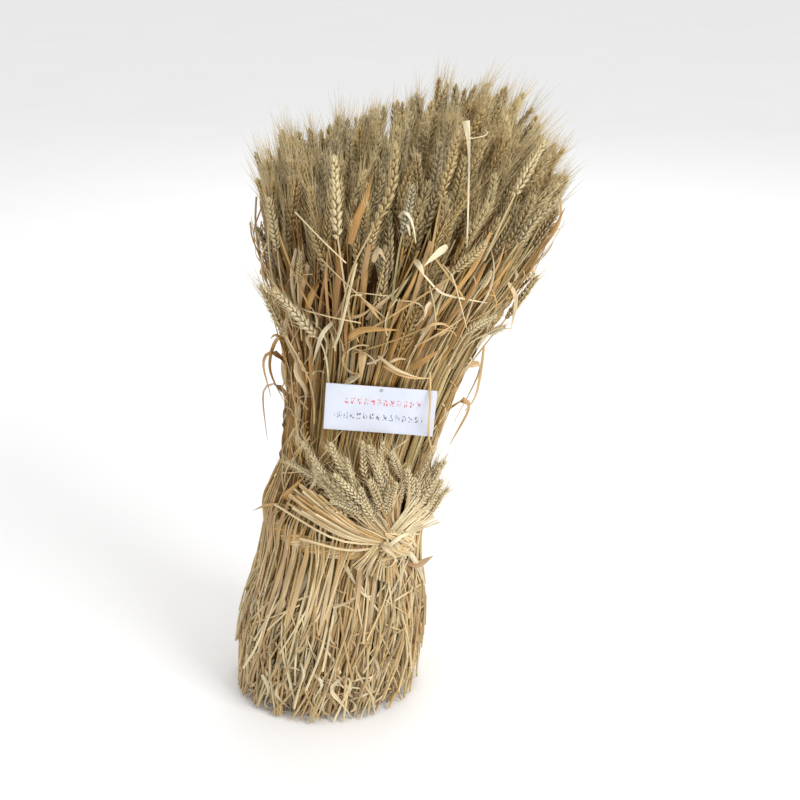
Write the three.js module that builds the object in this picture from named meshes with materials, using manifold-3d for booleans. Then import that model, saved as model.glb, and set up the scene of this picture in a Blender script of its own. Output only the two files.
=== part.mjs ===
// A sheaf of dried wheat standing on its cut ends, in millimetres, +Z up, origin on the floor at
// the middle of the cut ends. Handfuls of stalks, each with its ears, are bound at the waist by a
// band twisted from wheat stalks. The band's own ears fan up from its knot and its cut ends stick
// out to the left. A blank card is pinned to the front. The front of the sheaf faces -Y.
import * as THREE from "three";
import { mergeVertices } from "three/addons/utils/BufferGeometryUtils.js";
import Module from "manifold-3d";

const wasm = await Module();
wasm.setup();

// ---- Driving dimensions ----

// The sheaf's outline: at each height, the middle of the section, its half width and its turn.
// Above 680 the stalks go on spreading, and each ends where it reaches the outside of the head.
const OUTLINE = [
  { z: 0, middle: -7, halfWidth: 128, turn: -12 },
  { z: 130, middle: 7, halfWidth: 132, turn: -6 },
  { z: 256, middle: 21, halfWidth: 107, turn: 0 },
  { z: 316, middle: 29, halfWidth: 105, turn: 0 },
  { z: 400, middle: 49, halfWidth: 107, turn: 1 },
  { z: 540, middle: 77, halfWidth: 131, turn: 3 },
  { z: 680, middle: 107, halfWidth: 188, turn: 5 },
  { z: 800, middle: 132, halfWidth: 236, turn: 6 },
  { z: 920, middle: 157, halfWidth: 285, turn: 6 },
];
const DEPTH_SHARE = 0.9; // the sheaf is a little flatter front to back

// The handfuls fill the section in rings. Distances from its middle are shares of its radius.
const HANDFUL_GAP = 0.0085;
const OUTER_COUNT = 12;
const INNER_COUNT = 6;
const OUTER_FROM = 0.62;
const CENTRE_TO = 0.21;
const CARD_LEVELS = [400, 541]; // the card leans on the straws at these two heights
const CORE_LEVELS = [0, 110, 200, 256, 316, 400, 530, 622];
const INNER_LEVELS = [...CORE_LEVELS, 680];
const RIDGES = 6; // straws raised on the outside of each outer handful
const RIDGE_DEPTH = 0.075;
const RIDGE_SPREAD = 0.025; // how much lower some ridges are than others
const RIDGE_END = { up: 34, spread: 20 }; // how far a ridge's top stands above the packed core
const TOOTH = 20; // how far the straws' cut ends stand below the packed core

// Where the stalks with ears stand in a handful: degrees from its middle, and share of the radius.
const OUTER_STALKS = [[-10, 0.93], [0, 0.96], [10, 0.93], [-7.5, 0.76], [7.5, 0.76]];
const INNER_STALKS = [[-20, 0.52], [0, 0.53], [20, 0.52], [-14, 0.34], [14, 0.34]];
const CENTRE_STALKS = [[30, 0.11], [150, 0.11], [270, 0.11]];
const STRAYS = [-9.5, 0, 9.5]; // straws that have come away from an outer handful
const STRAY = { from: 236, share: 0.93, bendAt: 130, foot: 6, out: 9 };

const STEM_RADIUS = 2.3;
const STEM_FROM = 560; // inside the packed core
// The head: a squarish dome that holds the tips of the ears, highest to the right of the middle.
const HEAD = { x: 115, halfWidth: 205, halfDepth: 188, from: 560, top: 846, square: 7 };
const CREST = { height: 62, x: 205, width: 105 };
const TIP_SPREAD = 34; // how far below the outside of the head a tip may end
const EAR_LENGTH = 96;
const EAR_HALF_WIDTH = 8.4;
const EAR_HALF_THICK = 6.2;
const EAR_RINGS = 7;
const SPIKELET = { proud: 1.18, sunk: 0.68, lift: 0.3 };
const AWN = { length: 44, radius: 0.8, lean: 0.2 };
const LEAF = { width: 12, thick: 1.1, widestAt: 0.25 };

// Shorter stalks and hanging leaves that stand out from the sides and the back.
const LOW_STALKS = [
  { handful: 7, lean: 3, foot: 585, out: 24, drift: -22 },
  { handful: 11, lean: 0, foot: 575, out: 12, drift: 0 },
  { handful: 2, lean: 3, foot: 600, out: 18, drift: 0 },
  { handful: 4, lean: -4, foot: 575, out: 20, drift: 0 },
  { handful: 0, lean: 4, foot: 630, out: 10, drift: 0 },
];
const LEAVES = [
  { handful: 5, lean: 6, z: 455, reach: 34, fall: 60 },
  { handful: 6, lean: -8, z: 520, reach: 30, fall: 40 },
  { handful: 0, lean: -6, z: 480, reach: 36, fall: 66 },
  { handful: 1, lean: 5, z: 400, reach: 30, fall: 30 },
  { handful: 3, lean: 2, z: 440, reach: 34, fall: 50 },
  { handful: 4, lean: 7, z: 380, reach: 26, fall: 20 },
  { handful: 11, lean: 8, z: 440, reach: 30, fall: 44 },
  { handful: 8, lean: 0, z: 565, reach: 22, fall: 14 },
];

const BAND = { z: 302, rise: 25, riseAt: 102, halfHeight: 12, halfThick: 5, clear: 1.9 };
const TWIST = { steps: 42, depth: 0.13, turns: 14 };
const KNOT = { angle: -50, z: 280, radii: [23, 15, 21], clear: 1.2, groove: 0.16, twist: 0.9 };

// The band's ears and cut ends: lean from the vertical, length from the knot, and how far the tip
// stands off the sheaf.
const BAND_EARS = [
  { lean: -46, length: 166, out: 15 },
  { lean: -35, length: 148, out: 21 },
  { lean: -24, length: 160, out: 13 },
  { lean: -13, length: 126, out: 26 },
  { lean: -2, length: 146, out: 14 },
  { lean: 10, length: 130, out: 22 },
  { lean: 25, length: 122, out: 15 },
  { lean: 46, length: 120, out: 22 },
  { lean: 57, length: 120, out: 42 },
];
const BAND_BUTTS = [
  { lean: -50, length: 138, out: 20 },
  { lean: -54, length: 146, out: 15 },
  { lean: -58, length: 140, out: 21 },
  { lean: -62, length: 144, out: 16 },
  { lean: -66, length: 136, out: 21 },
  { lean: -71, length: 152, out: 25 },
  { lean: -84, length: 116, out: 21 },
];
const KNOT_STAND_OFF = 17; // how far from the sheaf the band's stalks leave the knot

const CARD = { width: 146, height: 72, thick: 0.8, x: 80, z: 498, roll: 4.6, clear: 0.1 };
const PIN = { headRadius: 2.2, headThick: 1, radius: 0.6, length: 20, fromTop: 5, clear: 0.35 };

const STRAW = { color: 0xb08d57, roughness: 0.62, metalness: 0 };
const BAND_STRAW = { color: 0xc8ab72, roughness: 0.5, metalness: 0 };
const CARD_WHITE = { color: 0xe6e9f4, roughness: 0.45, metalness: 0 };
const STEEL = { color: 0x8b8b8c, roughness: 0.3, metalness: 1 };

const MERGE = 0.001; // vertices nearer than this are one
const SLIVERS = [0.05, 0.07, 0.1, 0.14, 0.2, 0.03]; // how thin a face left where pieces meet may be

// ---- Small helpers ----

const radians = THREE.MathUtils.degToRad;
const lerp = THREE.MathUtils.lerp;
const clamp = THREE.MathUtils.clamp;
const degrees = THREE.MathUtils.radToDeg;

// A repeatable draw between -1 and 1 for stalk number i; salt tells one use from another.
function draw(i, salt) {
  const s = Math.sin(i * 12.9898 + salt * 78.233) * 43758.5453;
  return 2 * (s - Math.floor(s)) - 1;
}

// A smooth value between the rows of OUTLINE.
function outlineAt(z, key) {
  const rows = OUTLINE;
  const last = rows.length - 1;
  const k = z >= rows[last].z ? last - 1 : clamp(rows.findIndex((r) => r.z > z) - 1, 0, last - 1);
  const slope = (n) => {
    const a = rows[Math.max(n - 1, 0)];
    const b = rows[Math.min(n + 1, last)];
    return (b[key] - a[key]) / (b.z - a.z);
  };
  const span = rows[k + 1].z - rows[k].z;
  const t = clamp((z - rows[k].z) / span, 0, 1);
  const [t2, t3] = [t * t, t * t * t];
  return (
    (2 * t3 - 3 * t2 + 1) * rows[k][key] +
    (t3 - 2 * t2 + t) * span * slope(k) +
    (3 * t2 - 2 * t3) * rows[k + 1][key] +
    (t3 - t2) * span * slope(k + 1)
  );
}

// The point of the sheaf at an angle in degrees (-90 is the front) and a share of the radius.
// A stalk keeps its angle and share all the way up, so no two stalks cross.
function sheafPoint(angle, share, z) {
  const a = radians(angle + outlineAt(z, "turn"));
  const half = outlineAt(z, "halfWidth") * share;
  return new THREE.Vector3(
    outlineAt(z, "middle") + half * Math.cos(a),
    half * DEPTH_SHARE * Math.sin(a),
    z,
  );
}

// The level direction out of the sheaf's surface.
function outward(angle, z) {
  const a = radians(angle + outlineAt(z, "turn"));
  return new THREE.Vector3(Math.cos(a) * DEPTH_SHARE, Math.sin(a), 0).normalize();
}

// The point at a distance outside the sheaf's surface.
function nearSurface(angle, z, offset) {
  return sheafPoint(angle, 1, z).addScaledVector(outward(angle, z), offset);
}

// The angle at which the surface on the front has this x at this height.
function frontAngle(x, z) {
  const across = clamp((x - outlineAt(z, "middle")) / outlineAt(z, "halfWidth"), -0.97, 0.97);
  return -degrees(Math.acos(across)) - outlineAt(z, "turn");
}

// A three.js geometry as a manifold solid, and back.
function solid(geometry) {
  const bare = geometry.clone();
  bare.deleteAttribute("normal");
  bare.deleteAttribute("uv");
  const merged = mergeVertices(bare, MERGE);
  const triVerts = new Uint32Array(merged.index.array);
  return new wasm.Manifold(
    new wasm.Mesh({ numProp: 3, vertProperties: merged.attributes.position.array, triVerts }),
  );
}
function geometryOf(made) {
  const mesh = made.getMesh();
  return new THREE.BufferGeometry()
    .setAttribute("position", new THREE.BufferAttribute(mesh.vertProperties, 3))
    .setIndex(new THREE.BufferAttribute(mesh.triVerts, 1));
}

// True if no two parts of the skin touch along an edge: each edge has just two faces.
function hasPlainEdges(made) {
  const corners = mergeVertices(geometryOf(made), MERGE).index.array;
  const faces = new Map();
  for (let i = 0; i < corners.length; i++) {
    const edge = [corners[i], corners[i % 3 === 2 ? i - 2 : i + 1]].sort((a, b) => a - b).join();
    faces.set(edge, (faces.get(edge) ?? 0) + 1);
  }
  return [...faces.values()].every((count) => count === 2);
}

// Solids joined into one and cut by another, without the slivers that this leaves. A hollow that
// the joining sealed is a shell of its own, and so is a loose scrap: only the largest is kept.
function fuse(solids, cut) {
  const joined = wasm.Manifold.union(solids);
  const whole = cut ? joined.subtract(cut) : joined;
  const cleaned = SLIVERS.map((size) => {
    const clean = solid(geometryOf(whole.simplify(size)));
    return clean.decompose().sort((a, b) => b.volume() - a.volume())[0];
  });
  return cleaned.find(hasPlainEdges) ?? cleaned[0];
}
function addNode(group, name, made, look) {
  const mesh = new THREE.Mesh(geometryOf(made), new THREE.MeshStandardMaterial(look));
  mesh.name = name;
  group.add(mesh);
}

// The directions across a path and out towards the side that faces facing, at a share of its way.
function frameAt(path, t, facing) {
  const along = path.getTangentAt(clamp(t, 0.001, 0.999));
  const side = new THREE.Vector3().crossVectors(along, facing).normalize();
  return { along, side, front: new THREE.Vector3().crossVectors(side, along) };
}

// A four-sided rod bent along a path. sectionAt(ring, row) gives, for one vertex, the share of the
// path's way and the two half sizes there.
const ROD_SIDES = 4;
function rod(path, segments, facing, sectionAt) {
  const geometry = new THREE.CylinderGeometry(1, 1, 1, ROD_SIDES, segments);
  const place = geometry.attributes.position;
  const v = new THREE.Vector3();
  for (let i = 0; i < place.count; i++) {
    v.fromBufferAttribute(place, i);
    const isRim = Math.hypot(v.x, v.z) > 0.5;
    const angle = Math.atan2(v.z, v.x);
    const row = Math.round((angle / (2 * Math.PI)) * ROD_SIDES + ROD_SIDES) % ROD_SIDES;
    const { t, across, out } = sectionAt(Math.round((0.5 + v.y) * segments), isRim ? row : null);
    const { side, front } = frameAt(path, t, facing);
    const at = path.getPointAt(clamp(t, 0, 1));
    if (isRim) {
      at.addScaledVector(side, across * Math.cos(angle));
      at.addScaledVector(front, out * Math.sin(angle));
    }
    place.setXYZ(i, at.x, at.y, at.z);
  }
  return solid(geometry);
}

// ---- Pieces of wheat ----

// A bare straw along a curve through the points.
function straw(points, segments, facing) {
  const section = (ring) => ({ t: ring / segments, across: STEM_RADIUS, out: STEM_RADIUS });
  return rod(new THREE.CatmullRomCurve3(points), segments, facing, section);
}

// A stem and its ear in one skin. Four rows of spikelets stand out by turns up the ear.
function stalk(points, facing, length = EAR_LENGTH, rings = EAR_RINGS) {
  const path = new THREE.CatmullRomCurve3(points);
  const earFrom = 1 - length / path.getLength();
  const body = rod(path, rings + 1, facing, (ring, row) => {
    if (ring === 0) return { t: 0, across: STEM_RADIUS, out: STEM_RADIUS };
    const up = (ring - 1) / rings;
    if (ring === 1) return { t: earFrom, across: STEM_RADIUS, out: STEM_RADIUS };
    if (ring === rings + 1) return { t: 1, across: AWN.radius, out: AWN.radius };
    const isProud = (ring + row) % 2 === 0;
    const taper = Math.min(1, 0.62 + 2.2 * up) * (1 - 0.55 * up ** 3);
    const swell = (isProud ? SPIKELET.proud : SPIKELET.sunk) * taper;
    const t = lerp(earFrom, 1, up + (isProud ? SPIKELET.lift / rings : 0));
    return { t, across: EAR_HALF_WIDTH * swell, out: EAR_HALF_THICK * swell };
  });
  return { body, path, earFrom };
}

// Awns: thin needles rooted in the upper ear that lean out a little.
function awns({ path, earFrom }, facing, count, seed) {
  return Array.from({ length: count }, (unused, n) => {
    const root = lerp(earFrom, 1, lerp(0.55, 0.89, n / count));
    const { along, side, front } = frameAt(path, root, facing);
    const a = radians(360 * (n / count) + 90 * draw(seed, 31 + n));
    const lean = side.multiplyScalar(Math.cos(a)).addScaledVector(front, Math.sin(a));
    const axis = along.clone().addScaledVector(lean, AWN.lean).normalize();
    const from = path.getPointAt(root).addScaledVector(lean, EAR_HALF_THICK / 3);
    const needle = new THREE.ConeGeometry(AWN.radius, AWN.length, 3).translate(0, AWN.length / 2, 0);
    needle.applyQuaternion(new THREE.Quaternion().setFromUnitVectors(new THREE.Vector3(0, 1, 0), axis));
    return solid(needle.translate(from.x, from.y, from.z));
  });
}

// A dried leaf: a thin ribbon, narrower at its root, that tapers to its tip.
function leaf(points, facing) {
  const segments = 6;
  const widths = [
    [0, LEAF.width / 4],
    [LEAF.widestAt, LEAF.width / 2],
    [1, LEAF.width / 16],
  ];
  const section = (ring) => {
    const t = ring / segments;
    const [[from, a], [to, b]] = t < LEAF.widestAt ? widths : widths.slice(1);
    return { t, across: THREE.MathUtils.mapLinear(t, from, to, a, b), out: LEAF.thick * Math.SQRT1_2 };
  };
  return rod(new THREE.CatmullRomCurve3(points), segments, facing, section);
}

// ---- Handfuls ----

// The packed stalks of a handful: a skin through its profile at each level. Each wall is split
// along the diagonal that its neighbour's wall uses, so the gap between them stays even.
function packedCore(profile, levels, heightOf) {
  const n = profile.length;
  const positions = [];
  const index = [];
  const isRadial = (p, q) => Math.abs(p.share - q.share) > 0.1;
  const before = (p, q) => (isRadial(p, q) ? p.share < q.share : Math.sin(radians(q.angle - p.angle)) > 0);
  for (let k = 0; k < levels.length; k++) {
    profile.forEach((p, i) => positions.push(...sheafPoint(p.angle, p.share, heightOf(k, i))));
  }
  for (let k = 0; k + 1 < levels.length; k++) {
    for (let i = 0; i < n; i++) {
      const j = (i + 1) % n;
      const [a, b, c, d] = [k * n + i, k * n + j, (k + 1) * n + j, (k + 1) * n + i];
      if (before(profile[i], profile[j])) index.push(a, b, c, a, c, d);
      else index.push(a, b, d, b, c, d);
    }
  }
  for (const k of [0, levels.length - 1]) {
    const ring = profile.map((p, i) => new THREE.Vector3().fromArray(positions, (k * n + i) * 3));
    const hub = ring.reduce((sum, p) => sum.add(p), new THREE.Vector3()).divideScalar(n);
    hub.z = heightOf(k, n - 1);
    const middle = positions.push(...hub) / 3 - 1;
    for (let i = 0; i < n; i++) {
      const edge = [k * n + i, k * n + ((i + 1) % n)];
      index.push(middle, ...(k === 0 ? edge.reverse() : edge));
    }
  }
  const geometry = new THREE.BufferGeometry();
  geometry.setAttribute("position", new THREE.Float32BufferAttribute(positions, 3)).setIndex(index);
  return solid(geometry);
}

function isInHead({ x, y, z }) {
  const top = HEAD.top + CREST.height * Math.exp(-(((x - CREST.x) / CREST.width) ** 2));
  const shares = [(x - HEAD.x) / HEAD.halfWidth, y / HEAD.halfDepth, (z - HEAD.from) / (top - HEAD.from)];
  return shares.reduce((sum, v) => sum + Math.abs(v) ** HEAD.square, 0) < 1;
}

// How high a stalk reaches before it leaves the head.
function tipHeight(angle, share, seed) {
  let z = 700;
  while (isInHead(sheafPoint(angle, share, z))) z += 2;
  return z - TIP_SPREAD * Math.abs(draw(seed, 5));
}

// One stalk of a handful from inside the core to the tip of its ear.
function standingStalk(angle, share, seed) {
  const tip = tipHeight(angle, share, seed);
  const foot = tip - EAR_LENGTH;
  const sway = 1.6 * draw(seed, 7);
  const heights = [STEM_FROM, foot - 20, foot + 30, tip];
  const points = heights.map((z, i) => sheafPoint(angle + (sway * i) / 3, share, z));
  const facing = outward(angle, foot).applyAxisAngle(new THREE.Vector3(0, 0, 1), draw(seed, 9));
  const made = stalk(points, facing);
  return [made.body, ...awns(made, facing, share > 0.9 ? 2 : 1, seed)];
}

// A shorter stalk that stands out from the side of the sheaf, with its ear below the others.
function lowStalk(angle, { foot, out, drift }) {
  const heights = [foot - 150, foot - 60, foot + 25, foot + 85];
  const points = heights.map((z, i) => {
    return nearSurface(angle + (drift * Math.max(0, i - 1)) / 2, z, lerp(-9, out, Math.min(1, i / 2)));
  });
  const facing = outward(angle, foot);
  const made = stalk(points, facing, EAR_LENGTH * 0.8);
  return [made.body, ...awns(made, facing, 3, foot)];
}

// A cut straw that has come away from the core towards the floor.
function strayStraw(angle, seed) {
  const drift = 3.2 * draw(seed, 13);
  const foot = STRAY.foot * (1 + 0.8 * draw(seed, 17));
  const out = STRAY.out * (1 + 0.3 * draw(seed, 19));
  const points = [
    sheafPoint(angle, STRAY.share, STRAY.from),
    nearSurface(angle + drift * 0.4, STRAY.bendAt, STEM_RADIUS),
    nearSurface(angle + drift, foot, out),
  ];
  return straw(points, 2, new THREE.Vector3(1, 0, 0));
}

// A leaf that leaves the side of the sheaf, arches out and hangs.
function hangingLeaf(angle, { z, reach, fall }) {
  const points = [
    sheafPoint(angle, 1 - RIDGE_DEPTH, z),
    nearSurface(angle + 1, z + 26, reach * 0.5),
    nearSurface(angle + 2, z + 12, reach),
    nearSurface(angle + 3, z - fall, reach * 0.75),
  ];
  return leaf(points, outward(angle, z).setZ(0.4));
}

function outerHandful(k) {
  const width = 360 / OUTER_COUNT;
  const middle = width * (k + 0.5);
  const inset = degrees(HANDFUL_GAP) / 2;
  const profile = [];
  for (let i = 0; i <= 2 * RIDGES; i++) {
    const proud = i % 2 === 1;
    const angle = middle - width / 2 + inset + ((width - 2 * inset) * i) / (2 * RIDGES);
    const share = proud ? 1 - RIDGE_SPREAD * Math.abs(draw(k * 20 + i, 1)) : 1 - RIDGE_DEPTH;
    profile.push({ angle, share });
  }
  profile.push({ angle: middle + width / 2 - inset, share: OUTER_FROM });
  profile.push({ angle: middle - width / 2 + inset, share: OUTER_FROM });
  const top = CORE_LEVELS.length - 1;
  const core = packedCore(profile, CORE_LEVELS, (level, i) => {
    const proud = i < 2 * RIDGES && i % 2 === 1;
    if (level === 0) return proud ? 0 : TOOTH;
    if (level !== top || !proud) return CORE_LEVELS[level];
    return CORE_LEVELS[top] + RIDGE_END.up + RIDGE_END.spread * draw(k * 20 + i, 3);
  });
  const stalks = OUTER_STALKS.flatMap(([a, share], j) => standingStalk(middle + a, share, 100 + k * 7 + j));
  const strays = STRAYS.map((a, j) => strayStraw(middle + a, 300 + k * 5 + j));
  return { middle, parts: [core, ...stalks, ...strays] };
}

function innerHandful(k) {
  const width = 360 / INNER_COUNT;
  const middle = width * (k + 0.5);
  const inset = degrees(HANDFUL_GAP) / 2;
  const outer = OUTER_FROM - HANDFUL_GAP;
  const inner = CENTRE_TO + HANDFUL_GAP;
  const profile = [
    { angle: middle - width / 2 + inset, share: outer },
    { angle: middle, share: outer },
    { angle: middle + width / 2 - inset, share: outer },
    { angle: middle + width / 2 - 2.5 * inset, share: inner },
    { angle: middle - width / 2 + 2.5 * inset, share: inner },
  ];
  const core = packedCore(profile, INNER_LEVELS, (level) => INNER_LEVELS[level]);
  const stalks = INNER_STALKS.flatMap(([a, share], j) => standingStalk(middle + a, share, 500 + k * 7 + j));
  return [core, ...stalks];
}

function centreHandful() {
  const corners = Array.from({ length: INNER_COUNT }, (unused, i) => ({
    angle: (360 / INNER_COUNT) * i,
    share: CENTRE_TO,
  }));
  const core = packedCore(corners, INNER_LEVELS, (level) => INNER_LEVELS[level]);
  return [core, ...CENTRE_STALKS.flatMap(([a, share], j) => standingStalk(a, share, 700 + j))];
}

// ---- The band, its fan of ears and its cut ends ----

const bandZ = (angle) => BAND.z + BAND.rise * Math.cos(radians(angle - BAND.riseAt));

// The ring: a flattened torus whose section turns as it goes round, as twisted straw does.
function bandRing() {
  const ringRadius = 10;
  const geometry = new THREE.TorusGeometry(ringRadius, 1, 6, TWIST.steps);
  const place = geometry.attributes.position;
  const v = new THREE.Vector3();
  for (let i = 0; i < place.count; i++) {
    v.fromBufferAttribute(place, i);
    const around = Math.atan2(v.y, v.x);
    const section = Math.atan2(v.z, Math.hypot(v.x, v.y) - ringRadius);
    const strand = 1 + TWIST.depth * Math.cos(2 * section + around * TWIST.turns);
    const thick = Math.cos(section) * (Math.cos(section) < 0 ? 1 : strand);
    const z = bandZ(degrees(around)) + BAND.halfHeight * Math.sin(section) * strand;
    const at = nearSurface(degrees(around), z, BAND.clear + BAND.halfThick * (1 + thick));
    place.setXYZ(i, at.x, at.y, at.z);
  }
  return solid(geometry);
}

// The knot: a flattened ball with grooves between the straws that wind round it.
function knot() {
  const columns = 12;
  const geometry = new THREE.SphereGeometry(1, columns, 6);
  const place = geometry.attributes.position;
  const v = new THREE.Vector3();
  for (let i = 0; i < place.count; i++) {
    v.fromBufferAttribute(place, i);
    const column = Math.round((Math.atan2(v.z, v.x) / (2 * Math.PI) + 1) * columns);
    const isPole = Math.hypot(v.x, v.z) < 0.01;
    if (column % 2 && !isPole) v.multiplyScalar(1 - KNOT.groove);
    v.applyAxisAngle(new THREE.Vector3(0, 1, 0), KNOT.twist * v.y);
    place.setXYZ(i, v.x * KNOT.radii[0], -v.z * KNOT.radii[1], v.y * KNOT.radii[2]);
  }
  geometry.rotateZ(radians(KNOT.angle + 90));
  const at = nearSurface(KNOT.angle, KNOT.z, KNOT.radii[1] + KNOT.clear);
  return solid(geometry.translate(at.x, at.y, KNOT.z));
}

// The point on the front of the sheaf a length away from the knot, leaning from the vertical.
function fromKnot(lean, length, offset) {
  const start = nearSurface(KNOT.angle, KNOT.z, 0);
  const z = KNOT.z + length * Math.cos(radians(lean));
  const x = start.x + length * Math.sin(radians(lean));
  return nearSurface(frontAngle(x, z), z, offset);
}

function fanEar({ lean, length, out }, seed) {
  const points = [0.02, 0.35, 0.68, 1].map((t) => {
    return fromKnot(lean * (1 - 0.12 * t), length * t, lerp(KNOT_STAND_OFF, out, t));
  });
  const facing = new THREE.Vector3(0.2 * draw(seed, 41), -1, 0.25);
  const made = stalk(points, facing, Math.min(EAR_LENGTH * 0.72, length * 0.55), EAR_RINGS - 1);
  return [made.body, ...awns(made, facing, 1, seed)];
}

function buttEnd({ lean, length, out }) {
  const points = [0.05, 0.5, 1].map((t) => {
    return fromKnot(lean + 6 * (t - 0.5), length * t, lerp(KNOT_STAND_OFF, out, t));
  });
  return straw(points, 2, new THREE.Vector3(0, -1, 0.2));
}

function strawBand() {
  const ears = BAND_EARS.flatMap((ear, i) => fanEar(ear, 800 + i));
  return fuse([bandRing(), knot(), ...ears, ...BAND_BUTTS.map(buttEnd)]);
}

// ---- The card and its pin ----

// The card lies against the foremost straws, and leans as they do.
const ridgeTop = 1 - RIDGE_SPREAD / 2;
const [cardLow, cardHigh] = CARD_LEVELS.map((z) => sheafPoint(-90 - outlineAt(z, "turn"), ridgeTop, z));
const cardPitch = Math.atan2(cardLow.y - cardHigh.y, cardHigh.z - cardLow.z);
const cardFront = THREE.MathUtils.mapLinear(CARD.z, cardLow.z, cardHigh.z, cardLow.y, cardHigh.y);
const cardY = cardFront - CARD.thick / 2 - CARD.clear;

function onCard(geometry) {
  geometry.rotateX(cardPitch).rotateY(radians(CARD.roll));
  return solid(geometry.translate(CARD.x, cardY, CARD.z));
}
const pinUp = CARD.height / 2 - PIN.fromTop;
const holeRadius = PIN.radius + PIN.clear;

function card() {
  const plate = new THREE.BoxGeometry(CARD.width, CARD.thick, CARD.height);
  const hole = new THREE.CylinderGeometry(holeRadius, holeRadius, CARD.thick * 4, 8);
  return onCard(plate).subtract(onCard(hole.translate(0, 0, pinUp)));
}
function pin() {
  const shaft = new THREE.CylinderGeometry(PIN.radius, PIN.radius, PIN.length, 8);
  const head = new THREE.CylinderGeometry(PIN.headRadius * 0.8, PIN.headRadius, PIN.headThick, 12);
  const front = -CARD.thick / 2 - PIN.clear;
  head.rotateX(Math.PI).translate(0, front - PIN.headThick / 2, pinUp);
  shaft.translate(0, front + PIN.length / 2 - PIN.headThick / 2, pinUp);
  return onCard(shaft).add(onCard(head));
}
// The channel that the pin's shaft has pushed between the straws.
function pinChannel() {
  const channel = new THREE.CylinderGeometry(holeRadius, holeRadius, PIN.length * 1.6, 6);
  return onCard(channel.translate(0, PIN.length / 2, pinUp));
}

// ---- The whole sheaf ----

const sheaf = new THREE.Group();
for (let k = 0; k < OUTER_COUNT; k++) {
  const { middle, parts } = outerHandful(k);
  for (const low of LOW_STALKS.filter(({ handful }) => handful === k)) {
    parts.push(...lowStalk(middle + low.lean, low));
  }
  for (const one of LEAVES.filter(({ handful }) => handful === k)) {
    parts.push(hangingLeaf(middle + one.lean, one));
  }
  addNode(sheaf, "handful_outer_" + String(k + 1).padStart(2, "0"), fuse(parts, pinChannel()), STRAW);
}
for (let k = 0; k < INNER_COUNT; k++) {
  addNode(sheaf, "handful_inner_" + (k + 1), fuse(innerHandful(k)), STRAW);
}
addNode(sheaf, "handful_centre", fuse(centreHandful()), STRAW);
addNode(sheaf, "straw_band", strawBand(), BAND_STRAW);
addNode(sheaf, "card", card(), CARD_WHITE);
addNode(sheaf, "pin", pin(), STEEL);

export default sheaf;
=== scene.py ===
# A sheaf of dried wheat that stands on its cut ends, in metres, +Z up, its front facing -Y.
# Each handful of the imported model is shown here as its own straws, ears, awns and leaves.
import random
from math import atan2, cos, degrees, pi, radians, sin, sqrt

import bpy
import numpy as np
from mathutils import Matrix, Vector


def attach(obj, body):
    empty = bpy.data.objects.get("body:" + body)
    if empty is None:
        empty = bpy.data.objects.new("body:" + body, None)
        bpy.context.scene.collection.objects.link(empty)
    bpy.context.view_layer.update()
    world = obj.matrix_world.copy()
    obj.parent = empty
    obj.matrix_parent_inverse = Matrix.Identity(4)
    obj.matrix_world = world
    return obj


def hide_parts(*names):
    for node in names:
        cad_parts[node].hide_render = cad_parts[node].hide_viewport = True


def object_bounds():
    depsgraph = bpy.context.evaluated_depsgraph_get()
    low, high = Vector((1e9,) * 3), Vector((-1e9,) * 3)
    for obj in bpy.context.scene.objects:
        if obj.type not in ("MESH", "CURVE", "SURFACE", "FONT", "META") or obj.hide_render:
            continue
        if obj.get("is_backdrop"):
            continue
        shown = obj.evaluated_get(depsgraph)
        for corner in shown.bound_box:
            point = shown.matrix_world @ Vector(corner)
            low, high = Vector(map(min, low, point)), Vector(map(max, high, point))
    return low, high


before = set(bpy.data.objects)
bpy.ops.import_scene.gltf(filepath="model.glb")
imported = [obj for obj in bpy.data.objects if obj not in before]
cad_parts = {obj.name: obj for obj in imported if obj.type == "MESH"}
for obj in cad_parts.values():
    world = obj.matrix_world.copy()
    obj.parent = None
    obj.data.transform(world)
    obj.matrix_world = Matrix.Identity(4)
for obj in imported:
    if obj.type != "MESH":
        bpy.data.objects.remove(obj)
cad_low, cad_high = (np.array(tuple(corner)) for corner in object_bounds())
bpy.ops.object.select_all(action="DESELECT")

MM = 0.001

# ---- The sheaf's outline: height, middle of the section, half width, turn in degrees ----

OUTLINE = np.array((
    (0, -7, 128, -12), (130, 7, 132, -6), (256, 21, 107, 0), (316, 29, 105, 0), (400, 49, 107, 1),
    (540, 77, 131, 3), (680, 107, 188, 5), (800, 132, 236, 6), (920, 157, 285, 6))) * (MM, MM, MM, 1)
DEPTH_SHARE = 0.9  # the sheaf is a little flatter front to back
LEVELS = np.linspace(0, 0.96, 481)


def smooth_outline(column):
    """The outline between its rows, as a table over LEVELS."""
    z, v = OUTLINE[:, 0], OUTLINE[:, column]
    rows, last = np.arange(len(z)), len(z) - 1
    low, high = np.maximum(rows - 1, 0), np.minimum(rows + 1, last)
    slope = (v[high] - v[low]) / (z[high] - z[low])
    k = np.clip(np.searchsorted(z, LEVELS, side="right") - 1, 0, last - 1)
    span = z[k + 1] - z[k]
    t = np.clip((LEVELS - z[k]) / span, 0, 1)
    return ((2 * t**3 - 3 * t**2 + 1) * v[k] + (t**3 - 2 * t**2 + t) * span * slope[k]
            + (3 * t**2 - 2 * t**3) * v[k + 1] + (t**3 - t**2) * span * slope[k + 1])


MIDDLE, HALF_WIDTH, TURN = (smooth_outline(c) for c in (1, 2, 3))


def outline(z):
    return (np.interp(z, LEVELS, table) for table in (MIDDLE, HALF_WIDTH, TURN))


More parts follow.
